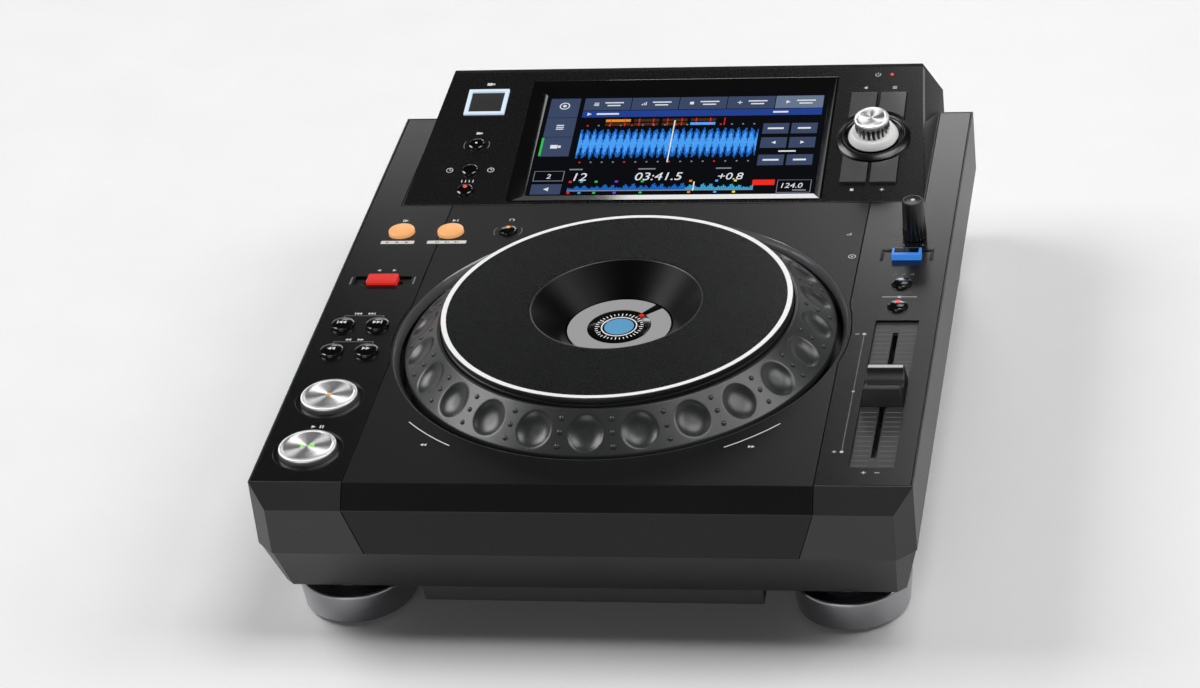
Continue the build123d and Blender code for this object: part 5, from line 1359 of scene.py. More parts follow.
@dataclass
class RightStrip:
    """Tempo fader with its scale, tempo buttons, jog mode button and speed knob."""

    deck: Panel
    tempo_crown: float = 0.5
    tray_edge: float = 0.1
    tray_step: float = 4.0           # from line to line of the tray
    tray_line: Point = (7.6, 0.3)
    tray_reach: float = 9.7          # from the slot to the lines' outer ends
    tray_margin: float = 1.5
    tray_layer: Point = (-0.03, 0.05)
    cap_edge: float = 0.45
    cap_line: Point = (16.2, 2.3)
    cap_line_place: float = 3.0      # from the cap's rear edge
    cap_line_layer: Point = (-0.3, 0.12)
    mode_edge: float = 0.4
    mode_border: Point = (2.4, 2.6)  # what the blue cap shows round its inlay
    mode_lean: float = 0.8
    inlay_layer: Point = (-0.3, 0.05)
    bracket: Point = (25.9, 9.0)     # width and depth of the bracket round the jog mode button
    bracket_line: float = 1.5
    bracket_rear: float = 5.6
    bracket_layer: Point = (-0.04, 0.35)
    knob_ribs: int = 18
    knob_rib_depth: float = 0.7
    knob_taper: float = 0.7
    knob_shaft: float = 3.0
    scale_off: float = 14.6          # from the fader's slot to its scale
    scale_end: float = 12.5          # from the tray's ends to the scale's
    line: float = 0.35
    dial_marks: int = 11
    dial_radius: float = 9.4

    def build(self) -> None:
        """Build the strip's controls from front to back, then its print."""
        self.fader()
        RoundButton(self.deck, "tempo_range_button", self.tempo_crown).build()
        RoundButton(self.deck, "master_tempo_button", self.tempo_crown, lamp=RED_LAMP).build()
        self.jog_mode()
        self.speed_knob()
        self.print_signs()

    def fader(self) -> None:
        """Graduated tray floor and a cap with a silver line along its rear ridge."""
        rounded("fader_tray", "fader_tray_floor", TRAY, self.tray_edge)
        box = self.deck.limits("fader_tray")
        lines = Builder(self.deck)
        layer = lifted(self.tray_layer, box.high.z)
        count = int((box.size.y / 2 - self.tray_margin) / self.tray_step)
        for k in range(-count, count + 1):
            for side in (-1, 1):
                x = box.middle.x + side * (self.tray_reach - self.tray_line[0] / 2)
                tint = GREY_INK if k else WHITE_INK
                lines.bar(x, box.middle.y + k * self.tray_step, self.tray_line, tint, layer)
        lines.finish("fader_tray_lines")
        rounded("fader_cap", "fader_cap_body", KNOB, self.cap_edge)
        cap = self.deck.limits("fader_cap")
        line = Builder(self.deck, cap.middle.x, cap.high.y - self.cap_line_place, cap.high.z)
        line.bar(0, 0, self.cap_line, SILVER, self.cap_line_layer)
        line.finish("fader_cap_line", "tempo_fader", "knob_metal")

    def jog_mode(self) -> None:
        """Blue lit cap with a black inlay on top, in a black bracket."""
        rounded("jog_mode_button", "jog_mode_cap", BLUE_CAP, self.mode_edge)
        box = self.deck.limits("jog_mode_button")
        x, y = box.middle[:2]
        inlay = Builder(self.deck, x, y, box.high.z)
        across, along = [side - 2 * FLANGE - border for side, border in zip(box.size, self.mode_border)]
        inlay.bar(0, self.mode_lean, (across, along), GLOSS, self.inlay_layer)
        inlay.finish("jog_mode_inlay", "jog_mode_button", "button_black")
        bracket = Builder(self.deck)
        (wide, deep), line = self.bracket, self.bracket_line
        for side in (-1, 1):
            arm = x + side * (wide - line) / 2
            bracket.bar(arm, y + self.mode_lean, (line, deep), GLOSS, self.bracket_layer)
        bracket.bar(x, y + self.bracket_rear, (wide, line), GLOSS, self.bracket_layer)
        bracket.finish("jog_mode_bracket", CHASSIS, "button_black")

    def speed_knob(self) -> None:
        """Tall tapered knob with a ribbed foot and a white pointer."""
        box = self.deck.limits("speed_knob")
        radius, low, top = box.size.x / 2, box.low.z, box.high.z
        knob = Builder(self.deck, *box.middle[:2])
        head, shaft = radius - self.knob_taper, self.knob_shaft
        profile = [
            (0, top - 0.35), (head - 1.6, top - 0.35), (head - 1.2, top - 0.1), (head - 0.5, top),
            (head - 0.1, top - 0.2), (head, top - 0.6), (radius - 0.3, 6.2), (radius - 0.25, 5.9, 0.2),
            (radius, 5.4, 1.0), (radius, 0.9, 1.0), (radius - 0.15, 0.5, 0.3), (radius - 0.5, 0.3),
            (shaft, 0.3), (shaft, low), (0, low),
        ]
        flutes = (self.knob_ribs, self.knob_rib_depth)
        knob.lathe(profile, KNOB, self.knob_ribs * 10, flutes=flutes)
        knob.disc(0, 0.8, 1.0, layer=(top - 0.5, top - 0.3))
        knob.finish("speed_knob_cap", "speed_control", "knob_black", ["speed_knob"])

    def print_signs(self) -> None:
        """Print the fader's scale, the signs of the buttons and the knob's dial marks."""
        ink, limits = Builder(self.deck), self.deck.limits
        tray = limits("fader_tray")
        x = tray.middle.x - self.scale_off
        front, rear = tray.low.y + self.scale_end, tray.high.y - self.scale_end
        ink.bar(x, (front + rear) / 2, (self.line, rear - front), GREY_INK)
        for y, size in ((front, 0.9), (tray.middle.y, 0.7), (rear, 0.9)):
            ink.disc(x, y, size)
        for sign, y, off in ((Symbol.PLUS, front, -3.0), (Symbol.MINUS, rear, 3.0)):
            ink.symbol(sign, x - 3.4, y, 2.0)
            ink.symbol(sign, tray.middle.x + off, tray.low.y - 4.2, 2.2)
        tempo = limits("tempo_range_button").middle
        for off in (-4.2, 0.0, 4.2):
            ink.symbol(Symbol.STEPS, tempo.x + off, tempo.y + 9.2, 1.7, GREY_INK)
        master = limits("master_tempo_button").middle
        ink.bar(master.x, master.y + 9.0, (17.0, self.line))
        ink.disc(master.x, master.y + 9.0, 0.9)
        mode = limits("jog_mode_button").middle
        ink.arc((mode.x - 27.0, mode.y), (1.5, 1.9))
        ink.disc(mode.x - 27.0, mode.y, 0.5)
        speed = limits("speed_knob").middle
        for k in range(self.dial_marks):
            ink.disc(*polar(self.dial_radius, math.radians(30 * k - 60), speed[:2]), 0.45, GREY_INK)
        ink.symbol(Symbol.STEPS, speed.x - 33.0, speed.y + 3.0, 2.2)
        ink.finish("right_strip_print")


@dataclass
class DeckPrint:
    """Direction marks printed on the deck beside the well."""

    deck: Panel
    radius: float = 117.5
    line: float = 0.55
    sign_out: float = 7.0            # from the arc out to its sign
    sign: float = 2.0

    MARKS = ((Symbol.BACK, (-138.0, -123.0), -128.0), (Symbol.FORWARD, (-57.0, -42.0), -52.0))

    def build(self) -> None:
        """Print an arc with a sign on each side of the wheel's front."""
        ink = Builder(self.deck)
        for sign, span, turn in self.MARKS:
            ink.arc((0, 0), (self.radius, self.radius + self.line), span)
            ink.symbol(sign, *polar(self.radius + self.sign_out, math.radians(turn)), self.sign)
        ink.finish("deck_direction_print")


@dataclass
class Display:
    """Face plate and bezel of the display, with a lip along the bezel's foot."""

    face: Panel
    face_edge: float = 0.4
    bezel_edge: float = 0.25
    hidden: float = 4.0              # edge of the glass under the bezel
    rim: float = 1.0
    lip_angle: float = math.radians(17.0)
    lip_right: float = 0.6           # share of the lip's depth by which it widens at the right

    def build(self) -> None:
        """Build the face, the bezel, the lip and the screen's lit layers."""
        rounded("display_fascia", "display_face", FACE, self.face_edge)
        rounded("screen_bezel", "bevelled_bezel", BEZEL, self.bezel_edge, MITRE_ANGLE)
        repaint(["lcd_screen"], SCREEN_BLACK)
        self.lower_lip()
        Screen(self.face, self.hidden).build()

    def lower_lip(self) -> None:
        """Shallow polished lip along the bezel's foot, which catches the light from behind."""
        bezel, glass = self.face.limits("screen_bezel"), self.face.limits("lcd_screen")
        low, high = glass.high.z + 0.02, bezel.high.z
        near, far = bezel.low.y + self.rim, glass.low.y + self.hidden
        left, right = glass.low.x + self.hidden, glass.high.x - self.hidden
        spread = far - near
        lip, edge = Builder(self.face), high - spread * math.tan(self.lip_angle)
        front = [lip.point(left - spread, near, high), lip.point(right + spread * self.lip_right, near, high)]
        rear, foot = [[lip.point(x, far, height) for x in (left, right)] for height in (edge, low)]
        for one, other in ((front, rear), (rear, foot), (foot, front)):
            lip.face((*one, *reversed(other)), BEZEL)
        for end in zip(front, rear, foot):
            lip.face(end, BEZEL)
        lip.finish("bezel_lower_lip")


@dataclass
class Screen:
    """Plain layout of the lit screen: tabs, title bar, waveforms, figures, keys and cue marks."""

    face: Panel
    hidden: float
    side_wide: float = 20.5          # column of source keys at the left
    margin: float = 2.0
    head: float = 2.2                # from the glass's upper edge to the tabs
    tabs: int = 5
    tab_tall: float = 10.0
    title_drop: float = 13.2         # from the tabs' top to the middle of the title bar
    title_tall: float = 5.2
    text: float = 1.3                # height of a bar that stands for a word
    small_text: float = 0.9
    sign: float = 2.6
    key: Point = (14.4, 8.4)
    key_drops: tuple[float, ...] = (13.5, 25.0, 39.0)   # rows of keys, from the title bar down
    source_tall: float = 15.6
    source_gap: float = 0.4
    wave_bars: int = 156
    beat_bars: int = 6               # bars from beat to beat
    beat_dots: int = 16
    overview_bars: int = 110
    overview_played: int = 70
    lit: Point = (0.02, 0.1)         # layers of light, foot and top over the glass
    beat: Point = (0.1, 0.13)
    core: Point = (0.1, 0.14)
    over: Point = (0.1, 0.15)
    playhead: Point = (0.14, 0.2)
    upper: Point = (0.15, 0.2)

    CUES = (
        (0.01, RED), (0.07, CYAN), (0.15, GREEN), (0.26, VIOLET),
        (0.4, GREEN), (0.66, AMBER), (0.8, WAVE), (0.9, YELLOW),
    )
    ICONS = (Symbol.LINES, Symbol.STEPS, Symbol.STOP, Symbol.PLUS, Symbol.PLAY)

    def __post_init__(self) -> None:
        """Measure the lit area inside the bezel and start the mesh on the glass."""
        box = self.face.limits("lcd_screen")
        self.left, self.right = box.low.x + self.hidden, box.high.x - self.hidden
        self.foot, self.top = box.low.y + self.hidden, box.high.y - self.hidden - self.head
        self.side = self.left + self.side_wide
        self.title = self.top - self.title_drop
        self.wave_left, self.wave_right = self.side + 1.5, self.right - 34.0
        self.ui = Builder(self.face, 0.0, 0.0, box.high.z)

    def build(self) -> None:
        """Lay out the screen from its head down."""
        self.header()
        self.sources()
        self.wave()
        self.phase()
        self.figures()
        self.overview()
        self.keys()
        self.ui.finish("screen_layout", CHASSIS, "screen")

    def header(self) -> None:
        """Tabs with an icon and two lines each, the last one lit, and the title bar."""
        ui, end = self.ui, self.right - self.margin
        tab, y = (end - self.side) / self.tabs, self.top - self.tab_tall / 2
        for k, icon in enumerate(self.ICONS):
            x, tint = self.side + tab * (k + 0.5), TAB_LIGHT if k == self.tabs - 1 else TAB
            ui.bar(x, y, (tab - 0.5, self.tab_tall), tint, self.lit)
            ui.symbol(icon, x - 6.0, y, self.sign, PALE, self.over)
            for drop, wide in ((3.9, 10.0), (6.2, 7.0)):
                ui.bar(x + 3.5, self.top - drop, (wide, self.small_text), PALE, self.over)
        wide = end - self.side - 0.5
        ui.bar((self.side + end) / 2, self.title, (wide, self.title_tall), TITLE, self.lit)
        ui.symbol(Symbol.PLAY, self.side + 4.0, self.title, self.sign, PALE, self.over)
        for x, wide in ((self.side + 14.0, 12.0), (self.right - 24.0, 8.0)):
            ui.bar(x, self.title, (wide, self.text), PALE, self.over)

    def framed(self, x: float, y: float, size: Point, line: float) -> None:
        """Black field with a thin grey frame."""
        self.ui.bar(x, y, size, FRAME_GREY, self.lit)
        self.ui.bar(x, y, (size[0] - line, size[1] - line), SCREEN_BLACK, self.over)

    def sources(self) -> None:
        """Source keys at the left, with a green bar beside the one in use."""
        ui, tall = self.ui, self.source_tall
        x, wide = (self.left + self.side) / 2, self.side - self.left - 4.5
        rows = [self.top - tall * (k + 0.5) - k * self.source_gap for k in range(3)]
        for y in rows:
            ui.bar(x, y, (wide, tall), TAB, self.lit)
        ui.arc((x, rows[0] + 1.6), (2.2, 2.8), FULL, PALE, self.over)
        ui.disc(x, rows[0] + 1.6, 1.0, PALE, self.over)
        for y, sign in zip(rows[1:], (Symbol.LINES, Symbol.STICK)):
            ui.symbol(sign, x, y, 4.0, PALE, self.over)
        ui.bar(self.left + 2.6, rows[2], (1.2, tall - 1.0), GREEN, self.over)
        self.framed(x, self.foot + 17.0, (wide, 8.0), 0.7)
        ui.digits("2", x - 1.3, self.foot + 15.0, 5.0, PALE, self.upper)
        ui.bar(x, self.foot + 6.5, (wide, 8.0), TAB, self.lit)
        ui.symbol(Symbol.LEFT, x, self.foot + 6.5, 3.0, PALE, self.over)

    def wave(self) -> None:
        """Zoomed waveform: deep blue bars with a bright core, beat dots and a playhead."""
        ui, left, span = self.ui, self.wave_left, self.wave_right - self.wave_left
        step, middle = span / self.wave_bars, self.title - 24.5
        for k in range(self.wave_bars):
            x = left + step * (k + 0.5)
            beat = abs(math.cos(math.pi * k / self.beat_bars))
            tall = 4.2 + 7.4 * beat ** 0.7 + 0.8 * math.sin(k * 1.7)
            core = tall * (0.25 + 0.5 * beat * beat)
            ui.bar(x, middle, (step * 0.82, 2 * tall), WAVE_DEEP, self.lit)
            ui.bar(x, middle, (step * 0.82, 2 * core), WAVE, self.core)
        for k in range(self.beat_dots):
            x, tint = left + span * (k + 0.5) / self.beat_dots, FRAME_GREY if k % 4 else RED
            for off in (-15.0, 15.0):
                ui.bar(x, middle + off, (0.9, 0.9), tint, self.lit)
        ui.bar(left + span / 2 + 2.0, middle + 1.5, (0.7, 34.0), PALE, self.playhead)

    def phase(self) -> None:
        """Two rows of beat marks, with the counted beat lit."""
        ui, left, span = self.ui, self.wave_left, self.wave_right - self.wave_left
        for row, tint, counted in ((1.6, AMBER, 0), (-1.6, WAVE, 3)):
            y = self.title - 7.2 + row
            for k in range(4):
                shade = tint if k == counted else DIM
                ui.bar(left + span * (0.2 + 0.16 * k), y, (span * 0.14, 2.0), shade, self.lit)
            for k in range(9):
                ui.bar(left + span * (0.16 + 0.08 * k), y, (0.5, 2.6), RED, self.beat)

    def figures(self) -> None:
        """Track number, running time and tempo in plain figures, each under a small line."""
        y = self.foot + 13.2
        for text, x, size in (
            ("12", self.side + 1.5, 8.6), ("03:41.5", self.side + 35.0, 8.6), ("+0.8", self.right - 52.0, 7.6)
        ):
            self.ui.digits(text, x, y, size, PALE, self.lit)
        for x, wide in ((self.side + 3.5, 7.0), (self.side + 41.0, 9.0), (self.right - 49.0, 8.0)):
            self.ui.bar(x, y + 9.0, (wide, self.small_text), FRAME_GREY, self.lit)

    def overview(self) -> None:
        """Whole-track waveform with coloured cue marks above and below."""
        ui, left, foot, count = self.ui, self.side + 1.0, self.foot + 5.5, self.overview_bars
        span = self.right - 32.0 - left
        step = span / count
        for k in range(count):
            part = math.sin(math.pi * (k + 8) / (count + 16)) ** 0.5
            tall = 1.2 + 4.2 * part * abs(math.sin(k * 0.21) * 0.6 + 0.4 * math.cos(k * 1.3))
            tint = WAVE_DEEP if k < self.overview_played else CYAN
            ui.bar(left + step * (k + 0.5), foot + tall / 2, (step * 0.85, tall), tint, self.lit)
        ui.bar(left + span / 2, foot - 0.4, (span, 0.7), FRAME_GREY, self.lit)
        for share, tint in self.CUES:
            for off in (6.8, -2.0):
                ui.bar(left + span * share, foot + off, (1.5, 1.4), tint, self.lit)
        ui.bar(left + span * 0.68, foot + 2.6, (0.7, 7.0), PALE, self.over)

    def keys(self) -> None:
        """Keys at the right, a red lamp and the beat rate in a frame."""
        ui, (wide, tall), end = self.ui, self.key, self.right - 3.0
        first, second = end - wide * 1.5 - 0.6, end - wide * 0.5
        for drop in self.key_drops:
            y = self.title - drop
            for x, sign, word in ((first, Symbol.LEFT, 8.4), (second, Symbol.PLAY, 6.8)):
                ui.bar(x, y, (wide - 0.8, tall), TAB, self.lit)
                if drop == self.key_drops[1]:
                    ui.symbol(sign, x, y, 2.4, PALE, self.over)
                else:
                    ui.bar(x, y, (word, self.text), PALE, self.over)
        ui.bar(end - wide, self.title - 32.0, (9.0, 1.0), PALE, self.lit)
        ui.bar(self.right - 27.0, self.foot + 10.6, (11.5, 4.2), RED, self.lit)
        self.framed(self.right - 11.0, self.foot + 7.4, (17.6, 10.0), 0.6)
        ui.digits("124.0", self.right - 18.6, self.foot + 6.0, 5.4, PALE, self.upper)
        ui.bar(self.right - 8.0, self.foot + 4.2, (7.0, self.small_text), FRAME_GREY, self.upper)


@dataclass
class Selector:
    """Bright knurled knob on a pale flared skirt, in a sloping black ring."""

    face: Panel
    shaft: float = 3.0
    shaft_gap: float = 0.05
    ring_radius: float = 19.15
    ring_width: float = 3.65
    ring_gap: float = 0.5            # from the skirt to the ring's floor
    ring_floor: Point = (-0.1, 0.3)
    knurls: int = 20
    knurl_steps: int = 12            # corners for each knurl
    knurl_depth: float = 1.5
    slot: Point = (1.15, 0.55)       # black rods down the knurls' valleys as painted shade: distance from the knob's edge, and radius
    tilt_room: float = 0.22          # how much lower the tilted cap stays, to lie inside the CAD's box

    def build(self) -> None:
        """Turn the skirt, the ring round it and the knob on it."""
        skirt_box, knob_box = self.face.limits("selector_skirt"), self.face.limits("selector_knob")
        spot = skirt_box.middle[:2]
        wide, low, high = skirt_box.size.x / 2, skirt_box.low.z, skirt_box.high.z
        bore = self.shaft + self.shaft_gap
        flare = [
            (bore, low), (wide - 0.7, low), (wide, low + 0.6), (wide - 0.1, low + 1.1),
            (wide - 0.9, low + 2.6), (wide - 1.7, high - 0.3), (wide - 2.2, high), (bore, high),
        ]
        skirt = Builder(self.face, *spot)
        skirt.lathe(flare, TRIM, closed=True)
        skirt.finish("selector_pale_skirt", "selector_turn", "trim_white", ["selector_skirt"])
        outer, near, (foot, floor) = self.ring_radius, wide + self.ring_gap, self.ring_floor
        inner = outer - self.ring_width
        section = [
            (outer, foot), (outer, 1.02), (outer - 0.65, 1.43), (outer - 1.45, 1.87), (outer - 2.35, 2.27),
            (outer - 3.05, 2.45), (inner, 2.4), (inner - 0.45, 2.0), (inner - 0.55, floor),
            (near, floor), (near, foot),
        ]
        ring = Builder(self.face, *spot)
        ring.lathe(section, STRIP, 128, closed=True)
        ring.finish("selector_gloss_ring")
        knob, steps = Builder(self.face, *spot), self.knurls * self.knurl_steps
        radius, top, stem = knob_box.size.x / 2, knob_box.high.z - self.tilt_room, knob_box.low.z
        cap = [
            (0, top - 0.25), (radius - 2.4, top - 0.25), (radius - 1.9, top), (radius - 0.9, top - 0.22),
            (radius - 0.3, top - 0.55), (radius, top - 1.1), (radius, top - 2.2), (radius - 0.1, top - 2.5),
        ]
        knob.lathe(cap, SPUN, steps)
        grip = [
            (radius - 0.1, top - 2.5), (radius - 0.1, top - 2.7, 1.0), (radius, top - 3.2, 1.0),
            (radius, high + 0.4, 1.0), (radius - 0.4, high), (self.shaft, high), (self.shaft, stem),
            (0, stem),
        ]
        knob.lathe(grip, BRIGHT, steps, flutes=(self.knurls, self.knurl_depth))
        # black rods in the valleys between the knurls: painted shade of the flutes
        inset, dark = self.slot
        for turn in turns(self.knurls, math.pi / self.knurls):
            knob.disc(*polar(radius - inset, turn), dark, KNOB, (high + 0.3, top - 2.8))
        knob.weld()
        knob.finish("selector_knurled_knob", "selector_turn", "knob_metal", ["selector_knob"])


@dataclass
class FaceControls:
    """USB window, small buttons, selector and its keys on the display's face."""

    face: Panel
    frame_edge: float = 0.25
    plate_edge: float = 0.3
    crown: float = 0.35
    stop_sign: float = 1.5
    key_sign: float = 2.2
    line: float = 0.35
    standby: Point = (5.4, -2.0)     # lamp and sign, across from the selector
    standby_drop: float = 6.6        # from the face's upper edge
    lamp_layer: Point = (-0.04, 0.25)

    KEYS = {
        "rear_left": Symbol.LEFT, "rear_right": Symbol.LINES,
        "front_left": Symbol.STOP, "front_right": Symbol.PLUS,
    }

    def build(self) -> None:
        """Build the controls from left to right, then their print."""
        rounded("usb_light_frame", "usb_lit_frame", USB_LIGHT, self.frame_edge)
        rounded("usb_door", "usb_cover_plate", SMOKE, self.plate_edge)
        repaint(["usb_socket"], NICKEL)
        RoundButton(
            self.face, "usb_stop_button", self.crown, sign=Symbol.STOP, sign_size=self.stop_sign
        ).build()
        RoundButton(self.face, "time_mode_button", self.crown).build()
        RoundButton(self.face, "quantize_button", self.crown, lamp=RED_LAMP).build()
        for key in self.KEYS:
            rounded(f"browse_{key}_button", f"browse_{key}_key", KEY, self.plate_edge)
        Selector(self.face).build()
        self.print_signs()

    def print_signs(self) -> None:
        """Print the signs beside the controls, and the standby lamp."""
        ink, limits = Builder(self.face), self.face.limits
        usb = limits("usb_light_frame")
        ink.symbol(Symbol.STICK, usb.middle.x, usb.high.y + 5.0, 3.0)
        stop = limits("usb_stop_button").middle
        ink.symbol(Symbol.STICK, stop.x, stop.y + 9.5, 2.4)
        for turn in (0, 180):
            ink.arc(stop[:2], (6.6, 7.0), (turn - 25, turn + 25), GREY_INK)
        time = limits("time_mode_button").middle
        for off in (-11.0, 11.0):
            ink.arc((time.x + off, time.y + 0.5), (1.5, 1.85))
            ink.bar(time.x + off, time.y + 1.1, (self.line, 1.3))
            ink.bar(time.x + off + 0.4, time.y + 0.5, (1.0, self.line))
        quantize = limits("quantize_button").middle
        for off in (-3.0, -1.0, 1.0, 3.0):
            ink.bar(quantize.x + off, quantize.y + 7.6, (0.5, 2.0))
        for name, sign in self.KEYS.items():
            key = limits(f"browse_{name}_button")
            y = key.high.y + 4.4 if name.startswith("rear") else key.low.y - 4.0
            ink.symbol(sign, key.middle.x, y, self.key_sign)
        middle, y = limits("selector_knob").middle.x, limits("display_fascia").high.y - self.standby_drop
        lamp, sign = [middle + off for off in self.standby]
        ink.disc(lamp, y, 0.9, RED_LAMP, self.lamp_layer)
        ink.arc((sign, y), (1.1, 1.45), (130, 410))
        ink.bar(sign, y + 0.9, (self.line, 1.5))
        ink.finish("display_face_print")


def add_screw(metal: Builder, x: float, y: float, seat: float, radius: float) -> None:
    """Add a round-head screw whose cross recess is drawn as a black cross of painted shade.

    Args:
        metal: Mesh of the screws.
        x: Place to the right.
        y: Place up the panel.
        seat: Height that it stands on.
        radius: Radius of its head.
    """
    head = [
        (0, seat + 1.05), (radius * 0.45, seat + 1.0), (radius * 0.8, seat + 0.75), (radius, seat + 0.35),
        (radius, seat - 0.1), (0, seat - 0.1),
    ]
    metal.lathe(head, ZINC, 28, middle=(x, y))
    # black cross over the head: painted shade of the cross recess, which is not cut
    for size in ((radius, 0.5), (0.5, radius)):
        metal.bar(x, y, size, BLACK_INK, (seat + 0.4, seat + 1.08))


@dataclass
class RearSide:
    """Socket panel at the back: phono jacks, data sockets, power button, mains inlet and screws."""

    back: Panel
    panel_edge: float = 0.25
    metal_edge: float = 0.2
    inlet_edge: float = 0.3
    power_edge: float = 0.5
    washer: Point = (4.35, 6.3)      # inner and outer radius
    washer_seat: float = 1.25
    washer_tall: float = 1.55
    washer_edge: float = 0.4
    screw: float = 2.6
    screw_inset: float = 9.0
    screw_columns: Point = (-36.0, 72.0)      # beside the power button and beside the jacks
    screw_rows: Point = (5.0, 38.0)           # up from the panel's foot

    def build(self) -> None:
        """Dress the sockets, then add inserts and screws."""
        rounded("rear_panel", "socket_panel", PAN, self.panel_edge)
        rounded("rca_jacks", "phono_jack_barrels", GOLD, self.metal_edge)
        rounded("rear_sockets", "data_socket_shells", NICKEL, self.metal_edge)
        rounded("ac_inlet", "mains_inlet_shell", KNOB, self.inlet_edge)
        rounded("power_button", "power_button_cap", KNOB, self.power_edge)
        self.inserts()
        self.screws()

    def inserts(self) -> None:
        """Coloured washers round the phono jacks and the power button's ring sign."""
        washers = Builder(self.back)
        (inner, outer), e = self.washer, self.washer_edge
        seat = self.back.limits("rear_panel").high.z + self.washer_seat
        top = seat + self.washer_tall
        ring = [(inner, seat), (outer, seat), (outer, top - e), (outer - e, top), (inner, top)]
        jacks = sorted(self.back.islands("rca_jacks"), key=lambda jack: jack.middle.x)
        for jack, tint in zip(jacks, (ORANGE_INSERT, WHITE_INSERT, RED_INSERT)):
            washers.lathe(ring, tint, 48, closed=True, middle=jack.middle[:2])
        washers.finish("phono_jack_washers")
        power = self.back.limits("power_button")
        sign = Builder(self.back, *power.middle[:2], power.high.z)
        sign.arc((0, 0), (2.0, 2.6), (120, 420))
        sign.bar(0, 2.1, (0.6, 2.4))
        sign.finish("power_button_sign", "power_button")

    def screws(self) -> None:
        """Round-head cross screws that hold the socket panel."""
        panel, metal = self.back.limits("rear_panel"), Builder(self.back)
        for x in (panel.low.x + self.screw_inset, *self.screw_columns, panel.high.x - self.screw_inset):
            for up in self.screw_rows:
                add_screw(metal, x, panel.low.y + up, panel.high.z, self.screw)
        metal.finish("socket_panel_screws")


@dataclass
class Underside:
    """Screws of the bottom plate, seen from below."""

    deck: Panel
    screw: float = 3.0
    inset: Point = (8.0, 10.0)       # from the plate's sides and from its ends
    rows: int = 4

    def build(self) -> None:
        """Set screws into the bottom pan's edge."""
        pan = self.deck.limits("bottom_plate")
        metal = Builder(self.deck.side((0.0, 0.0, pan.low.z), math.pi, "Y"))
        aside, ahead = self.inset
        for x in (pan.low.x + aside, pan.high.x - aside):
            for k in range(self.rows):
                y = pan.low.y + ahead + (pan.size.y - 2 * ahead) * k / (self.rows - 1)
                add_screw(metal, -x, y, 0.0, self.screw)
        metal.finish("bottom_pan_screws")


@dataclass(frozen=True)
class Softbox:
    """Rectangular soft light: its name, place, size in metres and power in watts."""

    name: str
    spot: tuple[float, float, float]
    size: Point
    watts: float
    aim: tuple[float, float, float] = (0.0, 0.0, 0.1)

    def build(self) -> None:
        """Hang the light and turn it to the point that it faces."""
        lamp = bpy.data.lights.new(self.name, "AREA")
        lamp.shape = "RECTANGLE"
        lamp.size, lamp.size_y = self.size
        lamp.energy = self.watts
        holder = bpy.data.objects.new(self.name, lamp)
        holder.location = self.spot
        holder.rotation_mode = "QUATERNION"
        holder.rotation_quaternion = (Vector(self.aim) - Vector(self.spot)).to_track_quat("-Z", "Y")
        holder.visible_camera = False
        bpy.context.scene.collection.objects.link(holder)


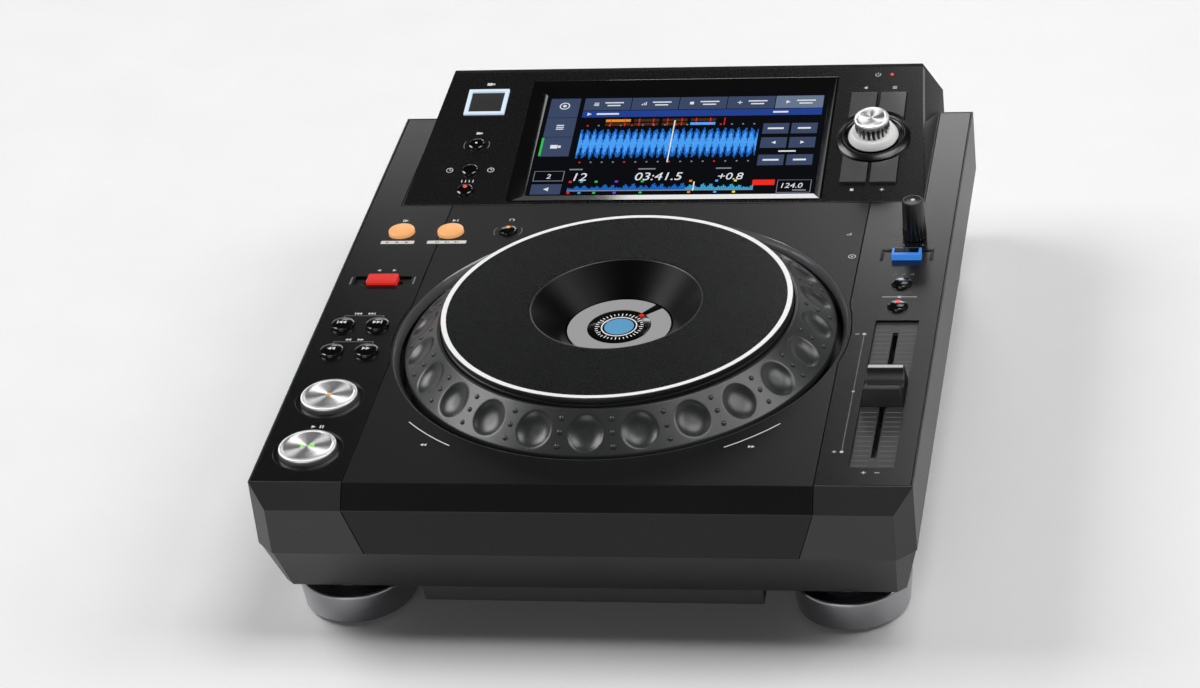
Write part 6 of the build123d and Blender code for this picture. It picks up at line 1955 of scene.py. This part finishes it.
@dataclass
class Studio:
    """Pale floor, soft lights and the camera at the photograph's place."""

    eye: tuple[float, float, float] = (0.3179, -1.4776, 0.9600)
    pitch: float = 31.75             # degrees below the horizon
    pan: float = 11.1                # degrees to the left about the camera's own upright
    lens: float = 106.0
    clip: Point = (0.05, 60.0)
    floor_size: float = 30.0

    # soft ones above and at both sides, small ones behind for the sheens, and a low one in front
    LIGHTS = (
        Softbox("key", (0.65, 0.0, 2.2), (1.1, 1.0), 20.0),
        Softbox("left", (-1.65, 0.3, 1.7), (1.4, 1.1), 36.0),
        Softbox("right", (1.7, 0.1, 1.6), (1.2, 1.0), 18.0),
        Softbox("sheen_right", (0.06, 1.06, 0.56), (0.26, 0.12), 0.4, (0.12, 0.1, 0.09)),
        Softbox("sheen_left", (-0.4, 1.06, 0.53), (0.16, 0.1), 0.12, (-0.13, 0.12, 0.09)),
        Softbox("bezel", (0.136, 0.7, 0.7), (0.2, 0.14), 0.2, (-0.08, 0.15, 0.1)),
        Softbox("horizon", (-0.08, 2.6, 0.93), (0.9, 0.3), 2.6),
        Softbox("front", (-0.4, -2.2, 0.5), (1.4, 0.5), 6.0),
    )
    SKY = (
        (0.0, "#f2f2f2"), (0.1, "#f2f2f2"), (0.22, "#b8b8b8"),
        (0.34, "#585858"), (0.46, "#141414"), (1.0, "#141414"),
    )
    SKY_LEVEL = {"From Min": -1.0, "From Max": 0.0, "To Min": 0.5, "To Max": 0.95}

    def build(self) -> None:
        """Set the world, floor, lights and camera."""
        self.world()
        self.floor()
        for light in self.LIGHTS:
            light.build()
        self.camera()
        bpy.context.scene.view_settings.view_transform = "Standard"

    def world(self) -> None:
        """Pale horizon that darkens upwards and to the front, so that flat black sides stay black."""
        world = bpy.data.worlds.new("studio")
        bpy.context.scene.world = world
        world.use_nodes = True
        tree = world.node_tree
        tree.nodes.clear()
        place = add_node(tree, "ShaderNodeTexCoord")
        axes = add_node(tree, "ShaderNodeSeparateXYZ", links={"Vector": place.outputs["Generated"]})
        ramp = add_node(tree, "ShaderNodeValToRGB", {"stops": self.SKY}, {"Fac": axes.outputs["Z"]})
        level = add_node(tree, "ShaderNodeMapRange", self.SKY_LEVEL, {"Value": axes.outputs["Y"]})
        glow = {"Color": ramp.outputs["Color"], "Strength": level.outputs["Result"]}
        sky = add_node(tree, "ShaderNodeBackground", links=glow)
        add_node(tree, "ShaderNodeOutputWorld", links={"Surface": sky.outputs["Background"]})

    def floor(self) -> None:
        """Pale table top with a soft reflection."""
        half = self.floor_size / 2
        data = bpy.data.meshes.new("floor")
        corners = [(x, y, 0) for x, y in block(-half, -half, half, half)]
        data.from_pydata(corners, [], [range(len(corners))])
        data.materials.append(FLOOR.material())
        floor = bpy.data.objects.new("floor", data)
        bpy.context.scene.collection.objects.link(floor)

    def camera(self) -> None:
        """Place the camera and turn it to the player."""
        data = bpy.data.cameras.new("camera")
        data.lens = self.lens
        data.clip_start, data.clip_end = self.clip
        camera = bpy.data.objects.new("camera", data)
        tip = Matrix.Rotation(math.radians(90.0 - self.pitch), 4, "X")
        turn = Matrix.Rotation(math.radians(self.pan), 4, "Y")
        camera.matrix_world = Matrix.Translation(self.eye) @ tip @ turn
        bpy.context.scene.collection.objects.link(camera)
        bpy.context.scene.camera = camera


def joint(name: str) -> dict[str, Any]:
    """Find one of the part's joints by name."""
    return next(j for j in frame["joints"] if j["name"] == name)


def main() -> None:
    """Build the player's pieces in order, then the studio."""
    logging.basicConfig(level=logging.INFO, format="%(message)s")
    hub = Vector(joint("jog_turn")["pos_m"])
    tilt = math.asin(joint("selector_press")["axis"][1])
    foot = Vector((0.0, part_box("display_fascia")[0].y, hub.z))
    deck = Panel(Matrix.Translation(hub))
    face = Panel(Matrix.Translation(foot) @ Matrix.Rotation(tilt, 4, "X"))
    # seen from behind: X towards the player's left, Y up and Z backwards
    back = Panel(Matrix(((-1, 0, 0, 0), (0, 0, 1, 0), (0, 1, 0, 0), (0, 0, 0, 1))))
    for assembly in (
        Case(deck), JogDial(deck), Platter(deck), CentreDisplay(deck), LeftStrip(deck), RightStrip(deck),
        DeckPrint(deck), Display(face), FaceControls(face), RearSide(back), Underside(deck), Studio(),
    ):
        assembly.build()


if __name__ == "__main__":
    main()
